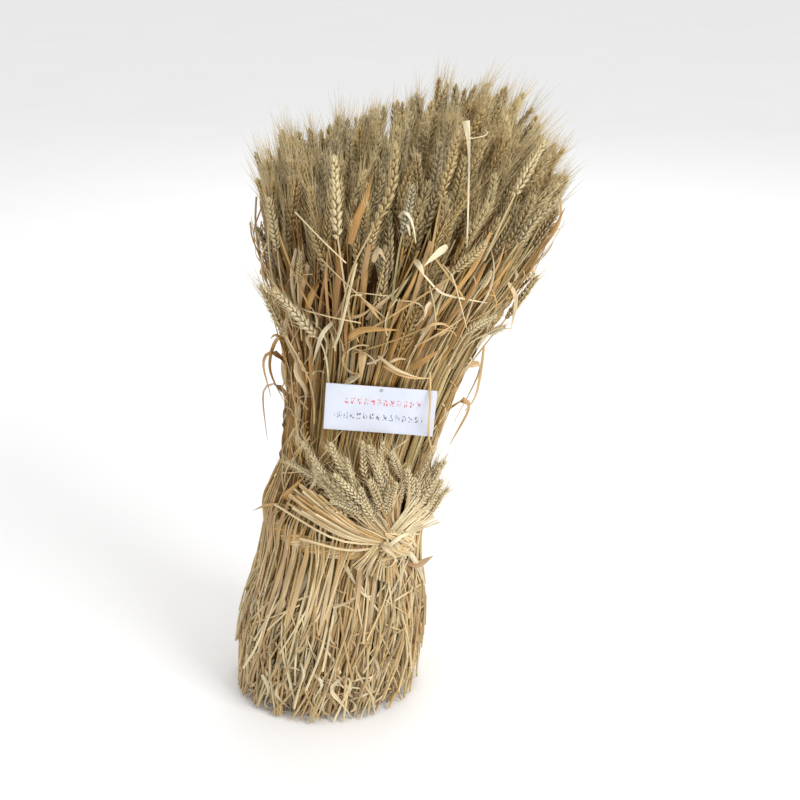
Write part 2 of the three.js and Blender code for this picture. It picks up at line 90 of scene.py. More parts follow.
def sheaf_point(angle, share, z, out=0.0):
    """The point at an angle (-90 is the front) and a share of the radius, moved out by a distance."""
    middle, half, turn = outline(z)
    a = np.radians(angle + turn)
    across, deep = np.cos(a), np.sin(a)
    size = np.hypot(across * DEPTH_SHARE, deep)
    return np.stack((middle + half * share * across + out * across * DEPTH_SHARE / size,
                     half * share * DEPTH_SHARE * deep + out * deep / size,
                     z + 0 * across), axis=-1)


def outward(angle, z):
    away = sheaf_point(angle, 1, z, 1) - sheaf_point(angle, 1, z)
    return away / np.linalg.norm(away)


def front_angle(x, z):
    """The angle at which the front of the sheaf has this x at this height."""
    middle, half, turn = outline(z)
    return -np.degrees(np.arccos(np.clip((x - middle) / half, -0.97, 0.97))) - turn


WAIST = 0.3
# The head: a squarish dome that holds the tips of the ears, highest to the right of the middle.
HEAD = dict(x=0.115, half_width=0.198, half_depth=0.1792, low=0.56, top=0.8365, square=7)
CREST = dict(height=0.06, x=0.195, width=0.125)


def head_share(x, y, z):
    """How far out a point lies in the head: 1 is on the dome."""
    top = HEAD["top"] + CREST["height"] * np.exp(-(((x - CREST["x"]) / CREST["width"]) ** 2))
    shares = ((x - HEAD["x"]) / HEAD["half_width"], y / HEAD["half_depth"],
              np.maximum(z - HEAD["low"], 0) / (top - HEAD["low"]))
    return sum(np.abs(v) ** HEAD["square"] for v in shares) ** (1 / HEAD["square"])


def tip_height(angle, share):
    """How high a stalk reaches before it leaves the head."""
    z = np.arange(0.7, 0.93, 0.002)
    outside = np.nonzero(head_share(*sheaf_point(angle, share, z).T) >= 1)[0]
    return float(z[outside[0]] if len(outside) else z[-1])


# ---- The camera, where the photographer stood ----

AIM = Vector((0.1065, 0, 0.463))
DISTANCE = 1.9
ELEVATION = radians(24)
FOCAL = 1352  # in pixels of an 800 pixel picture
SIDE = 800
back = Vector((0, -cos(ELEVATION), sin(ELEVATION)))
bpy.ops.object.camera_add(location=AIM + back * DISTANCE, rotation=(pi / 2 - ELEVATION, 0, 0))
camera = bpy.context.object
camera.name = "photographer"
camera.data.sensor_width = 36
camera.data.lens = FOCAL * 36 / SIDE
camera.data.clip_end = 60
bpy.context.scene.camera = camera


def seen_at(px, py, out=0.0):
    """The point a distance off the sheaf's surface that the camera sees at this place."""
    ahead = -back * FOCAL + Vector((1, 0, 0)) * (px - SIDE / 2)
    ahead += Vector((0, sin(ELEVATION), cos(ELEVATION))) * (SIDE / 2 - py)
    ahead.normalize()
    far = np.arange(1.3, 2.3, 0.002)  # the sheaf lies between these distances
    on_ray = np.array(camera.location) + far[:, None] * np.array(ahead)
    middle, half, turn = outline(on_ray[:, 2])
    gap = np.hypot(on_ray[:, 0] - middle, on_ray[:, 1] / DEPTH_SHARE) - half
    gap = np.maximum(gap, (head_share(*on_ray.T) - 1) * HEAD["half_depth"])
    inside = np.nonzero(gap <= out)[0]
    return on_ray[inside[0] if len(inside) else int(np.argmin(gap))]


# ---- Modelling by hand ----

def start_edit():
    bpy.ops.object.mode_set(mode="EDIT")
    bpy.ops.mesh.select_all(action="SELECT")


def end_edit():
    bpy.ops.mesh.select_all(action="SELECT")
    bpy.ops.mesh.remove_doubles(threshold=1e-6)
    bpy.ops.mesh.normals_make_consistent(inside=False)
    bpy.ops.object.mode_set(mode="OBJECT")


def clear_selection():
    if bpy.context.mode != "OBJECT":
        bpy.ops.object.mode_set(mode="OBJECT")
    bpy.ops.object.select_all(action="DESELECT")


def put_in(name, mesh):
    o = bpy.data.objects.new(name, mesh)
    bpy.context.scene.collection.objects.link(o)
    return o


def join(objects, name):
    clear_selection()
    for o in objects:
        o.select_set(True)
    bpy.context.view_layer.objects.active = objects[0]
    if len(objects) > 1:
        bpy.ops.object.join()
    joined = bpy.context.object
    joined.name = joined.data.name = name
    joined.select_set(False)
    return joined


def drawn_tube(name, sides, rings, hollow=0.0, closed_tip=False):
    """A tube drawn up ring by ring: height, radius and a shift sideways. hollow sinks both its ends."""
    clear_selection()
    z, radius, shift = rings[0]
    bpy.ops.mesh.primitive_circle_add(vertices=sides, radius=radius, fill_type="NGON",
                                      location=(shift, 0, z))
    tube = bpy.context.object
    tube.name = tube.data.name = name
    bpy.ops.object.transform_apply(location=True)
    start_edit()
    for next_z, next_radius, next_shift in rings[1:]:
        step = (next_shift - shift, 0, next_z - z)
        bpy.ops.mesh.extrude_region_move(TRANSFORM_OT_translate={"value": step})
        grow = next_radius / radius
        bpy.ops.transform.resize(value=(grow, grow, 1), center_override=(next_shift, 0, next_z))
        z, radius, shift = next_z, next_radius, next_shift
    if closed_tip:
        bpy.ops.mesh.merge(type="CENTER")
    if hollow:
        for end, way in ((rings[-1][0], -1), (rings[0][0], 1)):
            select_faces(tube, lambda f: abs(f.normal.z) > 0.9 and abs(f.center.z - end) < 1e-5)
            bpy.ops.mesh.inset(thickness=radius * 0.32)
            bpy.ops.mesh.extrude_region_move(TRANSFORM_OT_translate={"value": (0, 0, way * hollow)})
    end_edit()
    return tube


def in_mm(*rings):
    return [(z * MM, radius * MM, 0) for z, radius in rings]


def select_faces(o, wanted):
    """Selects, in edit mode, the faces that the test picks by place or normal."""
    bpy.ops.object.mode_set(mode="OBJECT")
    for f in o.data.polygons:
        f.select = wanted(f)
    for e in o.data.edges:
        e.select = False
    for v in o.data.vertices:
        v.select = False
    bpy.ops.object.mode_set(mode="EDIT")
    bpy.ops.mesh.select_mode(type="FACE")


# ---- Shapes that repeat: each is modelled once, upright, and laid along its way later ----

REST = {}  # a shape's vertices before it is laid, with z from 0 at its foot to 1 at its end


def keep_shape(o, length=1.0):
    """Stores the shape's own coordinates and takes it out of the scene."""
    co = np.empty(len(o.data.vertices) * 3)
    o.data.vertices.foreach_get("co", co)
    co = co.reshape(-1, 3)
    co[:, 2] /= length
    REST[o.data.name] = co
    for name, kind in (("tip", "FLOAT"), ("grown", "FLOAT_VECTOR"), ("stalk", "FLOAT_COLOR")):
        if name not in o.data.attributes:
            o.data.attributes.new(name, kind, "POINT")
    mesh = o.data
    mesh.use_fake_user = True
    bpy.data.objects.remove(o)
    return mesh


def mark_tips(o, length):
    """Writes how far each vertex is from the foot to the tip of one husk."""
    tip = o.data.attributes.new("tip", "FLOAT", "POINT")
    z = np.array([v.co.z for v in o.data.vertices])
    tip.data.foreach_set("value", np.clip(z / length, 0, 1))


NODE_SWELL = 1.22
STEM_NODES = (0.2, 0.47, 0.76)


def straw_rings(nodes, between, taper):
    """Rings of a straw one unit long and one unit in radius, swollen at its nodes."""
    heights = [(z, 1.0) for z in between]
    for z in nodes:
        heights += [(z - 0.006, 1.0), (z, NODE_SWELL), (z + 0.006, 0.98)]
    return [(z, swell * (1 - taper * z), 0.0) for z, swell in sorted(heights)]


straw = keep_shape(drawn_tube("straw", 5, straw_rings(
    STEM_NODES, (0, 0.07, 0.135, 0.29, 0.38, 0.57, 0.66, 0.85, 0.93, 1), 0.4), hollow=0.012))
stick = keep_shape(drawn_tube("short_straw", 6, straw_rings(
    (0.62,), (0, 0.12, 0.25, 0.38, 0.5, 0.75, 0.88, 1), 0.08), hollow=0.03))
STRAND_RINGS = 84
strand = keep_shape(drawn_tube("strand", 5, [(i / STRAND_RINGS, 1, 0) for i in range(STRAND_RINGS + 1)]))

# One husk of a spikelet, and one awn.
HUSK = 11.5 * MM
husk = drawn_tube("husk", 5, (
    (0, 0.9 * MM, 0), (3 * MM, 1.95 * MM, 0.4 * MM), (7.6 * MM, 1.6 * MM, 0.4 * MM),
    (HUSK, 0.3 * MM, -0.4 * MM)), closed_tip=True)
bpy.ops.object.shade_smooth()
mark_tips(husk, HUSK)
clear_selection()
bpy.ops.mesh.primitive_cone_add(vertices=3, radius1=0.34 * MM, radius2=0.08 * MM, depth=1,
                                location=(0, 0, 0.5))
awn = bpy.context.object
bpy.ops.object.transform_apply(location=True)
tip = awn.data.attributes.new("tip", "FLOAT", "POINT")
tip.data.foreach_set("value", [1.0] * len(awn.data.vertices))

EAR_LENGTH = 96 * MM
SPIKELETS = 21


def placed_copy(o, matrix):
    mesh = o.data.copy()
    mesh.transform(matrix)
    return put_in(o.name, mesh)


# One spikelet's husks: mm out from the rachis, mm to the front, and degrees of tilt.
SPIKELET = ((1.9, 0, 0), (1.1, -1.9, 15), (1.1, 1.9, -15))
RACHIS = in_mm((0, 1.3), (50, 1), (88, 0.6))
RACHIS_TOP = 83 * MM
UP = Vector((0, 0, 1))


def model_ear(name, seed, awn_lengths, plump=1.0, spikelets=SPIKELETS):
    """Two rows of spikelets up a rachis, each of three husks; awns grow from the upper husks."""
    rng = random.Random(seed)
    parts = [drawn_tube(name + "_rachis", 4, RACHIS)]
    # painted shade: the rachis gets the darkened colour of a husk's foot
    mark_tips(parts[0], 10)  # so its colour is that of the foot of a husk
    for i in range(spikelets):
        up = i / (spikelets - 1)
        side = 1 if i % 2 else -1
        size = min(1.0, 0.66 + 1.5 * up) * (1 - 0.3 * up**3) * plump
        for out, front, tilt in SPIKELET:
            wobble = [rng.uniform(-1, 1) for _ in range(4)]
            lean = side * radians(30 - 14 * up) * (0.62 if front else 1)
            place = (Matrix.Translation((side * out * MM * size, front * MM * size,
                                         RACHIS_TOP * up + 0.8 * MM * wobble[0]))
                     @ Matrix.Rotation(lean * (1 + 0.2 * wobble[1]), 4, "Y")
                     @ Matrix.Rotation(radians(tilt + 6 * wobble[2]), 4, "X"))
            flip = Matrix.Rotation(pi if side > 0 else 0, 4, "Z")
            scale = Matrix.Diagonal((size, size * 0.86, size * (1.02 + 0.1 * wobble[3]), 1))
            parts.append(placed_copy(husk, place @ flip @ scale))
            low, high = awn_lengths
            if rng.random() < 0.35 + up:
                length = rng.uniform(low, high) * MM * (0.35 + 0.65 * up)
                aim = (place.to_3x3() @ UP).lerp(UP, 0.35)
                aim += Vector((rng.uniform(-0.12, 0.12), rng.uniform(-0.12, 0.12), 0))
                stand = UP.rotation_difference(aim.normalized()).to_matrix().to_4x4()
                foot = Matrix.Translation(place @ Vector((0, 0, HUSK * size * 0.9)))
                parts.append(placed_copy(awn, foot @ stand @ Matrix.Diagonal((1, 1, length, 1))))
    for turn in (0, 120, 240):
        spin = Matrix.Rotation(radians(turn), 4, "Z") @ Matrix.Translation((0.9 * MM, 0, 0.084))
        parts.append(placed_copy(husk, spin @ Matrix.Diagonal((0.7, 0.6, 0.9, 1))))
    return keep_shape(join(parts, name), EAR_LENGTH)


EARS = [
    model_ear("ear_short_awns", 3, (5, 22)),
    model_ear("ear_long_awns", 5, (20, 56)),
    model_ear("ear_few_awns", 7, (2, 8), 1.05),
    model_ear("ear_mixed_awns", 11, (8, 40), 0.92, 19),
]
CREAM_EAR = model_ear("ear_of_band", 13, (3, 14), 1.1, 17)


def model_blade(name, rows, widths, thick, fold=0.0):
    """A leaf blade: a narrow grid shaped row by row, creased along its midrib and given thickness."""
    clear_selection()
    bpy.ops.mesh.primitive_grid_add(x_subdivisions=2, y_subdivisions=rows, size=1,
                                    rotation=(pi / 2, 0, 0), location=(0, 0, 0.5))
    blade = bpy.context.object
    blade.name = blade.data.name = name
    bpy.ops.object.transform_apply(location=True, rotation=True)
    for v in blade.data.vertices:
        half = np.interp(v.co.z, *zip(*widths)) * MM
        v.co.y = fold * half * (1 - abs(v.co.x) * 2)
        v.co.x *= 2 * half
    thicken = blade.modifiers.new("thickness", "SOLIDIFY")
    thicken.thickness, thicken.offset = thick, 0
    bpy.ops.object.modifier_apply(modifier="thickness")
    bpy.ops.object.shade_smooth_by_angle(angle=radians(50))
    mark_tips(blade, 1)
    return keep_shape(blade)


# The half width at shares of the length, in mm.
BLADE_WIDTHS = ((0, 2.8), (0.1, 4.2), (0.3, 5), (0.6, 3.8), (0.85, 1.7), (1, 0.3))
SHRED_WIDTHS = ((0, 1.4), (0.4, 1.9), (1, 0.7))
SHEATH_WIDTHS = ((0, 0.9), (0.6, 1.2), (0.8, 1.7), (1, 5))
blade = model_blade("blade", 14, BLADE_WIDTHS, 0.45 * MM, 0.35)
shred = model_blade("shred", 12, SHRED_WIDTHS, 0.4 * MM, 0.2)
sheath = model_blade("sheath", 12, SHEATH_WIDTHS, 0.4 * MM, 0.4)


class Way:
    """A smooth way through points, with the side that what is laid along it faces."""

    def __init__(self, points, facing, steps=8):
        p = np.array([tuple(q) for q in points], float)
        ends = np.vstack([2 * p[0] - p[1], p, 2 * p[-1] - p[-2]])
        t = np.linspace(0, len(p) - 1, steps * (len(p) - 1) + 1)
        k = np.minimum(t.astype(int), len(p) - 2)
        u = (t - k)[:, None]
        a, b, c, d = ends[k], ends[k + 1], ends[k + 2], ends[k + 3]
        self.at = 0.5 * (2 * b + (c - a) * u + (2 * a - 5 * b + 4 * c - d) * u**2
                         + (3 * b - a - 3 * c + d) * u**3)
        self.dist = np.concatenate([[0], np.cumsum(np.linalg.norm(np.diff(self.at, axis=0), axis=1))])
        self.length = self.dist[-1]
        along = np.gradient(self.at, axis=0)
        self.along = along / np.linalg.norm(along, axis=1)[:, None]
        side = np.cross(self.along, np.array(facing, float))
        self.side = side / np.linalg.norm(side, axis=1)[:, None]
        self.front = np.cross(self.side, self.along)

    def read(self, table, z):
        return np.stack([np.interp(z, self.dist, table[:, i]) for i in range(3)], axis=1)


def bent(mesh, place, grown, look):
    """A copy of a shape with its vertices moved, with what the materials read of it."""
    copy = mesh.copy()
    copy.vertices.foreach_set("co", place.ravel())
    copy.attributes["grown"].data.foreach_set("vector", grown.ravel())
    copy.attributes["stalk"].data.foreach_set("color", look.ravel())
    return put_in(mesh.name, copy)


BLEACHED_BELOW, BLEACHED_SHARE = 0.3, 0.36  # the lower straws have faded


def laid(mesh, way, tone, tint=0.0, start=0.0, end=None, width=1.0, roll=0.0, twist=0.0, seed=0.0,
         faded=0.0):
    """A copy of a shape, bent along a way. tone runs from dark to pale; tint from gold to grey."""
    rest = REST[mesh.name]
    end = way.length if end is None else end
    z = start + rest[:, 2] * (end - start)
    turn = roll + twist * np.clip(rest[:, 2], 0, 1)
    x = (rest[:, 0] * np.cos(turn) - rest[:, 1] * np.sin(turn)) * width
    y = (rest[:, 0] * np.sin(turn) + rest[:, 1] * np.cos(turn)) * width
    on = np.clip(z, 0, way.length)
    place = (way.read(way.at, on) + (z - on)[:, None] * way.read(way.along, on)
             + x[:, None] * way.read(way.side, on) + y[:, None] * way.read(way.front, on))
    grown = np.stack((rest[:, 0] * width + seed, rest[:, 1] * width, z + seed * 3), axis=1)
    look = np.tile((tone, tint, 0.0, 1.0), (len(rest), 1))
    look[:, 2] = np.maximum(faded, BLEACHED_SHARE * np.clip((BLEACHED_BELOW - place[:, 2]) / 0.1, 0, 1))
    return bent(mesh, place, grown, look)


def strewn(mesh, points, facing, rng, tone, tint, width, steps=8, **more):
    """One shape laid along a way through points, with a place of its own in the fibres."""
    return [laid(mesh, Way(points, facing, steps), tone, tint, width=width, seed=rng.random() * 9, **more)]


def with_ear(way, ear, length, straw_look, thick, ear_look, plump, seed, faded=(0, 0)):
    """A straw, thick in mm, that ends just inside an ear of this length. A look is a tone and a tint."""
    return [laid(straw, way, *straw_look, 0, way.length - length * 0.97, thick * MM, seed=seed,
                 faded=faded[0]),
            laid(ear, way, *ear_look, way.length - length, None, plump, seed=seed, faded=faded[1])]


# ---- Materials ----

def shade(r, g, b):
    """A colour from its screen values, 0 to 255."""
    return tuple(((c / 255 + 0.055) / 1.055) ** 2.4 if c > 10 else c / 255 / 12.92
                 for c in (r, g, b)) + (1,)


def feed(tree, sockets, values):
    """Gives each socket its link or its constant."""
    for key, value in dict(values).items():
        if isinstance(value, bpy.types.NodeSocket):
            tree.links.new(value, sockets[key])
        else:
            sockets[key].default_value = value


def add(tree, kind, inputs=(), **settings):
    node = tree.nodes.new("ShaderNode" + kind)
    for key, value in settings.items():
        setattr(node, key, value)
    feed(tree, node.inputs, inputs)
    return node


def math_node(tree, operation, a, b=0.0):
    return add(tree, "Math", {0: a, 1: b}, operation=operation).outputs[0]


def mix(tree, factor, a, b, blend_type="MIX"):
    node = add(tree, "Mix", data_type="RGBA", blend_type=blend_type)
    feed(tree, {s.identifier: s for s in node.inputs},
         {"Factor_Float": factor, "A_Color": a, "B_Color": b})
    return next(s for s in node.outputs if s.identifier == "Result_Color")


def spread(tree, value, low, high, to_low=0.0, to_high=1.0):
    return add(tree, "MapRange", {0: value, 1: low, 2: high, 3: to_low, 4: to_high}).outputs[0]


def noise(tree, at, scale=1.0, detail=2.0, roughness=0.5):
    return add(tree, "TexNoise", {"Vector": at, "Scale": scale, "Detail": detail,
                                            "Roughness": roughness}).outputs[0]


def new_material(name):
    """A material, its node tree and the sockets of its shader."""
    material = bpy.data.materials.new(name)
    material.use_nodes = True
    tree = material.node_tree
    return material, tree, tree.nodes["Principled BSDF"].inputs


def bump(tree, grain, strength, distance):
    return add(tree, "Bump", {"Height": grain, "Strength": strength, "Distance": distance}).outputs[0]


def effect(name, inputs, outputs):
    """A node group with named inputs and outputs."""
    group = bpy.data.node_groups.new(name, "ShaderNodeTree")
    for title, kind, value in inputs:
        socket = group.interface.new_socket(title, in_out="INPUT", socket_type=kind)
        socket.default_value = value
    for title, kind in outputs:
        group.interface.new_socket(title, in_out="OUTPUT", socket_type=kind)
    given, out = group.nodes.new("NodeGroupInput"), group.nodes.new("NodeGroupOutput")
    return group, given.outputs, out.inputs


def fibre_effect():
    """Long fine fibres that follow each straw, husk or blade."""
    group, given, out = effect("fibres", (("Fineness", "NodeSocketFloat", 1.0),),
                               (("Fibres", "NodeSocketFloat"), ("Blotches", "NodeSocketFloat")))
    grown = add(group, "Attribute", attribute_name="grown").outputs["Vector"]
    scale = add(group, "VectorMath", {0: (1100, 1100, 14), "Scale": given[0]}, operation="SCALE")
    for k, (stretch, detail, rough) in enumerate(((scale.outputs[0], 3.0, 0.6),
                                                  ((130, 130, 22), 4.0, 0.65))):
        at = add(group, "VectorMath", {0: grown, 1: stretch}, operation="MULTIPLY").outputs[0]
        group.links.new(noise(group, at, 1.0, detail, rough), out[k])
    return group


def tone_effect():
    """Each stalk's own colour, between dark, middle and pale, then aged and faded."""
    group, given, out = effect(
        "stalk_colour",
        [(n, "NodeSocketColor", (0.5, 0.5, 0.5, 1)) for n in ("Dark", "Middle", "Pale", "Aged", "Faded")],
        (("Color", "NodeSocketColor"),))
    own = add(group, "Attribute", attribute_name="stalk").outputs["Color"]
    parts = add(group, "SeparateColor", {0: own}).outputs
    low = mix(group, spread(group, parts[0], 0.0, 0.5), given[0], given[1])
    high = mix(group, spread(group, parts[0], 0.5, 1.0), low, given[2])
    aged = mix(group, parts[1], high, given[3])
    group.links.new(mix(group, math_node(group, "MULTIPLY", parts[2], 0.6), aged, given[4]), out[0])
    return group


FIBRES, TONES = fibre_effect(), tone_effect()


def dry_plant(name, dark, middle, pale, aged, fineness, rough, tip_colour=None, foot_painted_shade=None):
    """A dried stalk, husk or blade, coloured by its own tone, streaked along its fibres."""
    material, tree, shader = new_material(name)
    tones = {"Dark": dark, "Middle": middle, "Pale": pale, "Aged": aged, "Faded": FADED}
    colour = add(tree, "Group", tones, node_tree=TONES).outputs[0]
    fibres, blotches = add(tree, "Group", {"Fineness": fineness}, node_tree=FIBRES).outputs[:2]
    if tip_colour:
        tip = add(tree, "Attribute", attribute_name="tip").outputs["Fac"]
        colour = mix(tree, spread(tree, tip, 0.45, 1.0, 0.0, 0.7), colour, tip_colour)
        # painted shade: the foot of each husk, and with it the rachis, is darkened where the husks overlap
        colour = mix(tree, spread(tree, tip, 0.3, 0.0, 0.0, 0.75), colour, foot_painted_shade, "MULTIPLY")
    streak = spread(tree, fibres, 0.3, 0.7, 0.66, 1.22)
    stain = spread(tree, blotches, 0.3, 0.68, 0.72, 1.15)
    light = math_node(tree, "MULTIPLY", streak, stain)
    grey = add(tree, "CombineColor", {0: light, 1: light, 2: light}).outputs[0]
    feed(tree, shader, {"Base Color": mix(tree, 1.0, colour, grey, "MULTIPLY"),
                        "Roughness": spread(tree, fibres, 0.3, 0.7, rough - 0.1, rough + 0.12),
                        "Normal": bump(tree, fibres, 0.35, 0.0006), "Specular IOR Level": 0.45})
    return material


FADED = shade(234, 220, 184)
STALK_LOOK = dry_plant("dried_stalk", shade(120, 73, 20), shade(197, 153, 78), shade(235, 218, 176),
                       shade(170, 161, 116), 1.0, 0.42)
# painted shade: the last colour darkens the foot of each husk
EAR_LOOK = dry_plant("ripe_ear", shade(140, 103, 44), shade(182, 151, 90), shade(218, 200, 152),
                     shade(164, 156, 132), 1.6, 0.55, shade(220, 200, 152), shade(206, 180, 136))
LEAF_LOOK = dry_plant("dried_leaf", shade(142, 92, 38), shade(196, 153, 88), shade(232, 219, 184),
                      shade(170, 158, 136), 0.8, 0.5)
# painted shade: the packed inside is coloured far darker than its straw, for the shade in the gaps between
# the outer stalks
PACKED_SHADE_LOOK = dry_plant("packed_straw_in_painted_shade", shade(78, 47, 14), shade(106, 68, 22), shade(134, 90, 34),
                      shade(80, 70, 40), 0.25, 0.75)


def give(mesh, material):
    mesh.materials.clear()
    mesh.materials.append(material)


for mesh in (straw, stick, strand):
    give(mesh, STALK_LOOK)
for mesh in (*EARS, CREAM_EAR):
    give(mesh, EAR_LOOK)
for mesh in (blade, shred, sheath):
    give(mesh, LEAF_LOOK)

# ---- Handfuls ----

MARGIN = np.array((0.0195, 0.0135, 0))  # the awns reach on past the end of a stalk
CARD_SPAN = dict(angle=277, reach=46, low=0.43, high=0.56)  # where nothing may stand in the card's way


def behind_card(angle, low, high):
    beside = abs(angle % 360 - CARD_SPAN["angle"]) >= CARD_SPAN["reach"]
    return not beside and low < CARD_SPAN["high"] and high > CARD_SPAN["low"]


def meets_card(angle, points):
    return any(behind_card(angle, q[2], q[2]) for q in points)


def in_box(point):
    return np.clip(point, cad_low + MARGIN, cad_high - MARGIN)


def trail(angle, z, rows):
    """Points whose rows are degrees on from the angle, share of the radius, height over z and mm off."""
    return [sheaf_point(angle + turn, share, z + up, out * MM) for turn, share, up, out in rows]


def band_z(angle):
    """The band's height, which rises towards the back."""
    return 0.302 + 0.025 * np.cos(np.radians(angle - 102))


def stalk_way(rng, angle, share, top, foot=None, wander=6.0, stray=0.0):
    """The way of a stalk from the floor through the waist to its top."""
    foot = 0.002 + 0.045 * rng.random() ** 2 if foot is None else foot
    low_turn, high_turn = rng.uniform(-wander, wander), rng.uniform(-wander, wander)
    points = []
    for z in (foot, 0.13, WAIST, 0.42, 0.55, 0.67, top - 0.07, top):
        if points and (z <= points[-1][2] + 0.03 or z > top):
            continue
        below, above = max(0, (WAIST - z) / WAIST), max(0, (z - WAIST) / (0.9 - WAIST))
        free = min(1, 4 * (below + above))
        a = angle + low_turn * below + high_turn * above + rng.uniform(-2.2, 2.2) * free
        s = min(share + 0.035 * rng.uniform(-1, 0.6) * free, 1.0)
        hidden = behind_card(a, z - 0.03, z + 0.03)
        point = sheaf_point(a, min(s, 0.95) if hidden else s, z)
        if z != WAIST and not hidden:
            loose = (2 + 5 * above) * MM + stray * (z == top)
            point[:2] += (rng.uniform(-loose, loose), rng.uniform(-loose, loose))
        points.append(in_box(point))
    return points


def tone_and_painted_shade_at(angle, share, rng):
    """Outer stalks are bleached; the stalks on the left are darkened as painted shade, and those further in
    are darker, partly as painted shade among the stalks and partly as less bleached straw.
    """
    # painted shade: stalks on the left side are darker, on the side away from the light
    left = max(0, cos(radians(angle - 205)))
    # painted shade and less bleaching: the further in a stalk stands, the darker its tone
    return float(np.clip(rng.uniform(0.08, 0.98) * (1 - 0.6 * left) - 0.9 * max(0, 0.88 - share), 0.02, 1))


def facing_out(angle, z, rng, turn=0.9):
    away = outward(angle, z)
    spin = rng.uniform(-turn, turn)
    c, s = cos(spin), sin(spin)
    return (away[0] * c - away[1] * s, away[0] * s + away[1] * c, 0.02)


def eared_stalk(rng, angle, share, tip_at, from_floor=True, wander=6.0):
    length = EAR_LENGTH * rng.uniform(0.82, 1.08)
    foot = None if from_floor else rng.uniform(0.36, 0.42)
    way = Way(stalk_way(rng, angle, share, tip_at, foot, wander, 0.009),
              facing_out(angle, tip_at - 0.1, rng))
    tone = tone_and_painted_shade_at(angle, share, rng)
    tint = rng.random() ** 2.2 * 0.9
    seed = rng.random() * 9
    ear = EARS[rng.choice((0, 0, 1, 1, 2, 3, 3))]
    return with_ear(way, ear, length, (tone, tint * 0.8), 1.75, (rng.uniform(0.2, 0.9), tint),
                    rng.uniform(0.86, 1.1), seed)


def bare_stalk(rng, angle, share, top, wander):
    right = max(0, cos(radians(angle + 35)))
    return strewn(straw, stalk_way(rng, angle, share, top, None, wander), facing_out(angle, 0.4, rng), rng,
                  tone_and_painted_shade_at(angle, share, rng), rng.random() ** (3 - 2 * right) * 0.8,
                  rng.uniform(1.2, 2.3) * MM)


def bit(rng, angle, z, mesh):
    """A scrap of leaf or thin straw caught on the outside, curled and pointing anywhere."""
    length, lean = rng.uniform(0.018, 0.07), radians(rng.triangular(-100, 100, 0))
    curl = rng.uniform(-1.3, 1.3)
    half = float(np.interp(z, LEVELS, HALF_WIDTH))
    at_angle, at_z = angle, z
    points = []
    for i in range(5):
        lift = sin(pi * (0.15 + 0.8 * i / 4)) * rng.uniform(1, 7) * MM - 1 * MM
        points.append(sheaf_point(at_angle, 1, max(at_z, 0.003), lift))
        at_angle += degrees(sin(lean) * length / 4 / half)
        at_z += cos(lean) * length / 4
        lean += curl / 2
    if meets_card(angle, points):
        return []
    return strewn(mesh, points, facing_out(angle, z, rng, 0.6), rng, rng.triangular(0.3, 1, 0.8),
                  rng.random() ** 3 * 0.6, rng.uniform(0.7, 1.3) * (1 if mesh is shred else 0.9 * MM), 5,
                  roll=rng.uniform(-0.7, 0.7), twist=rng.uniform(-2, 2) if mesh is shred else 0)


def crossing_straw(rng, angle):
    """A thin straw that lies askew over the others."""
    z = rng.choice((rng.uniform(0.03, 0.22), rng.uniform(0.33, 0.4), rng.uniform(0.57, 0.66)))
    length = rng.uniform(0.05, 0.12)
    lean = radians(rng.triangular(8, 75, 12) * rng.choice((-1, 1)))
    half = float(np.interp(z, LEVELS, HALF_WIDTH))
    points = []
    for t, lift in ((0, -1), (0.3, 2.5), (0.7, 3.5), (1, 1.5)):
        points.append(in_box(sheaf_point(angle + degrees(sin(lean) * length * t / half), 1,
                                         z + cos(lean) * length * t, lift * MM)))
    if meets_card(angle, points):
        return []
    return strewn(stick, points, outward(angle, z), rng, rng.triangular(0.3, 1, 0.7),
                  rng.random() ** 3 * 0.4, rng.uniform(0.7, 1.6) * MM, 5)


def over_band(rng, angle):
    """A straw that has come loose and lies over the band."""
    z, below, above = float(band_z(angle)), rng.uniform(0.04, 0.14), rng.uniform(0.03, 0.09)
    turn, proud = rng.uniform(-7, 7), rng.uniform(11.5, 15)
    points = trail(angle, z, ((-turn, 0.99, -below, 2), (-0.3 * turn, 1, -0.02, proud * 0.8),
                              (0, 1, 0, proud), (0.3 * turn, 1, 0.02, proud * 0.8),
                              (turn, 0.99, above, 1)))
    if rng.random() < 0.25:
        return strewn(blade, points, outward(angle, z), rng, rng.triangular(0.1, 0.9, 0.4), 0.2,
                      rng.uniform(0.4, 0.8), 6)
    return strewn(straw, points, outward(angle, z), rng, rng.triangular(0.2, 1, 0.6),
                  rng.random() ** 3 * 0.5, rng.uniform(1.3, 2) * MM, 6)


def leaf_between(rng, angle, share):
    """A dried leaf pressed along the stalks, or partly sprung away from them."""
    z = rng.uniform(0.06, 0.2) if rng.random() < 0.2 else rng.uniform(0.33, 0.66)
    length = min(rng.uniform(0.05, 0.15), 0.76 - z)
    turn, lift = rng.triangular(-20, 20, 0), rng.uniform(-2, 8)
    if behind_card(angle, z, z + length):
        lift, share, turn = -4, 0.93, turn * 0.3
    points = trail(angle, z, ((0, share - 0.05, 0, 0), (turn * 0.3, share, length * 0.35, lift * 0.4),
                              (turn * 0.7, share, length * 0.7, lift),
                              (turn, share - rng.uniform(0, 0.05), length, lift * rng.uniform(-0.5, 1))))
    if rng.random() < 0.4:
        points.reverse()
    return strewn(blade, points, facing_out(angle, z, rng, 0.5), rng, rng.triangular(0.05, 0.95, 0.4),
                  rng.random() ** 3 * 0.6, rng.uniform(0.3, 0.95), roll=rng.uniform(-0.6, 0.6),
                  twist=rng.uniform(-1.6, 1.6))


def hanging_leaf(angle, z, reach, fall, rng):
    points = trail(angle, z, ((0, 0.93, 0, 0), (1, 1, 0.026, reach * 0.5), (2, 1, 0.012, reach),
                              (3, 1, -fall, reach * 0.75)))
    return strewn(blade, points, (*outward(angle, z)[:2], 0.4), rng, rng.uniform(0.3, 0.8), 0.1, 1.15,
                  twist=rng.uniform(-0.8, 0.8))


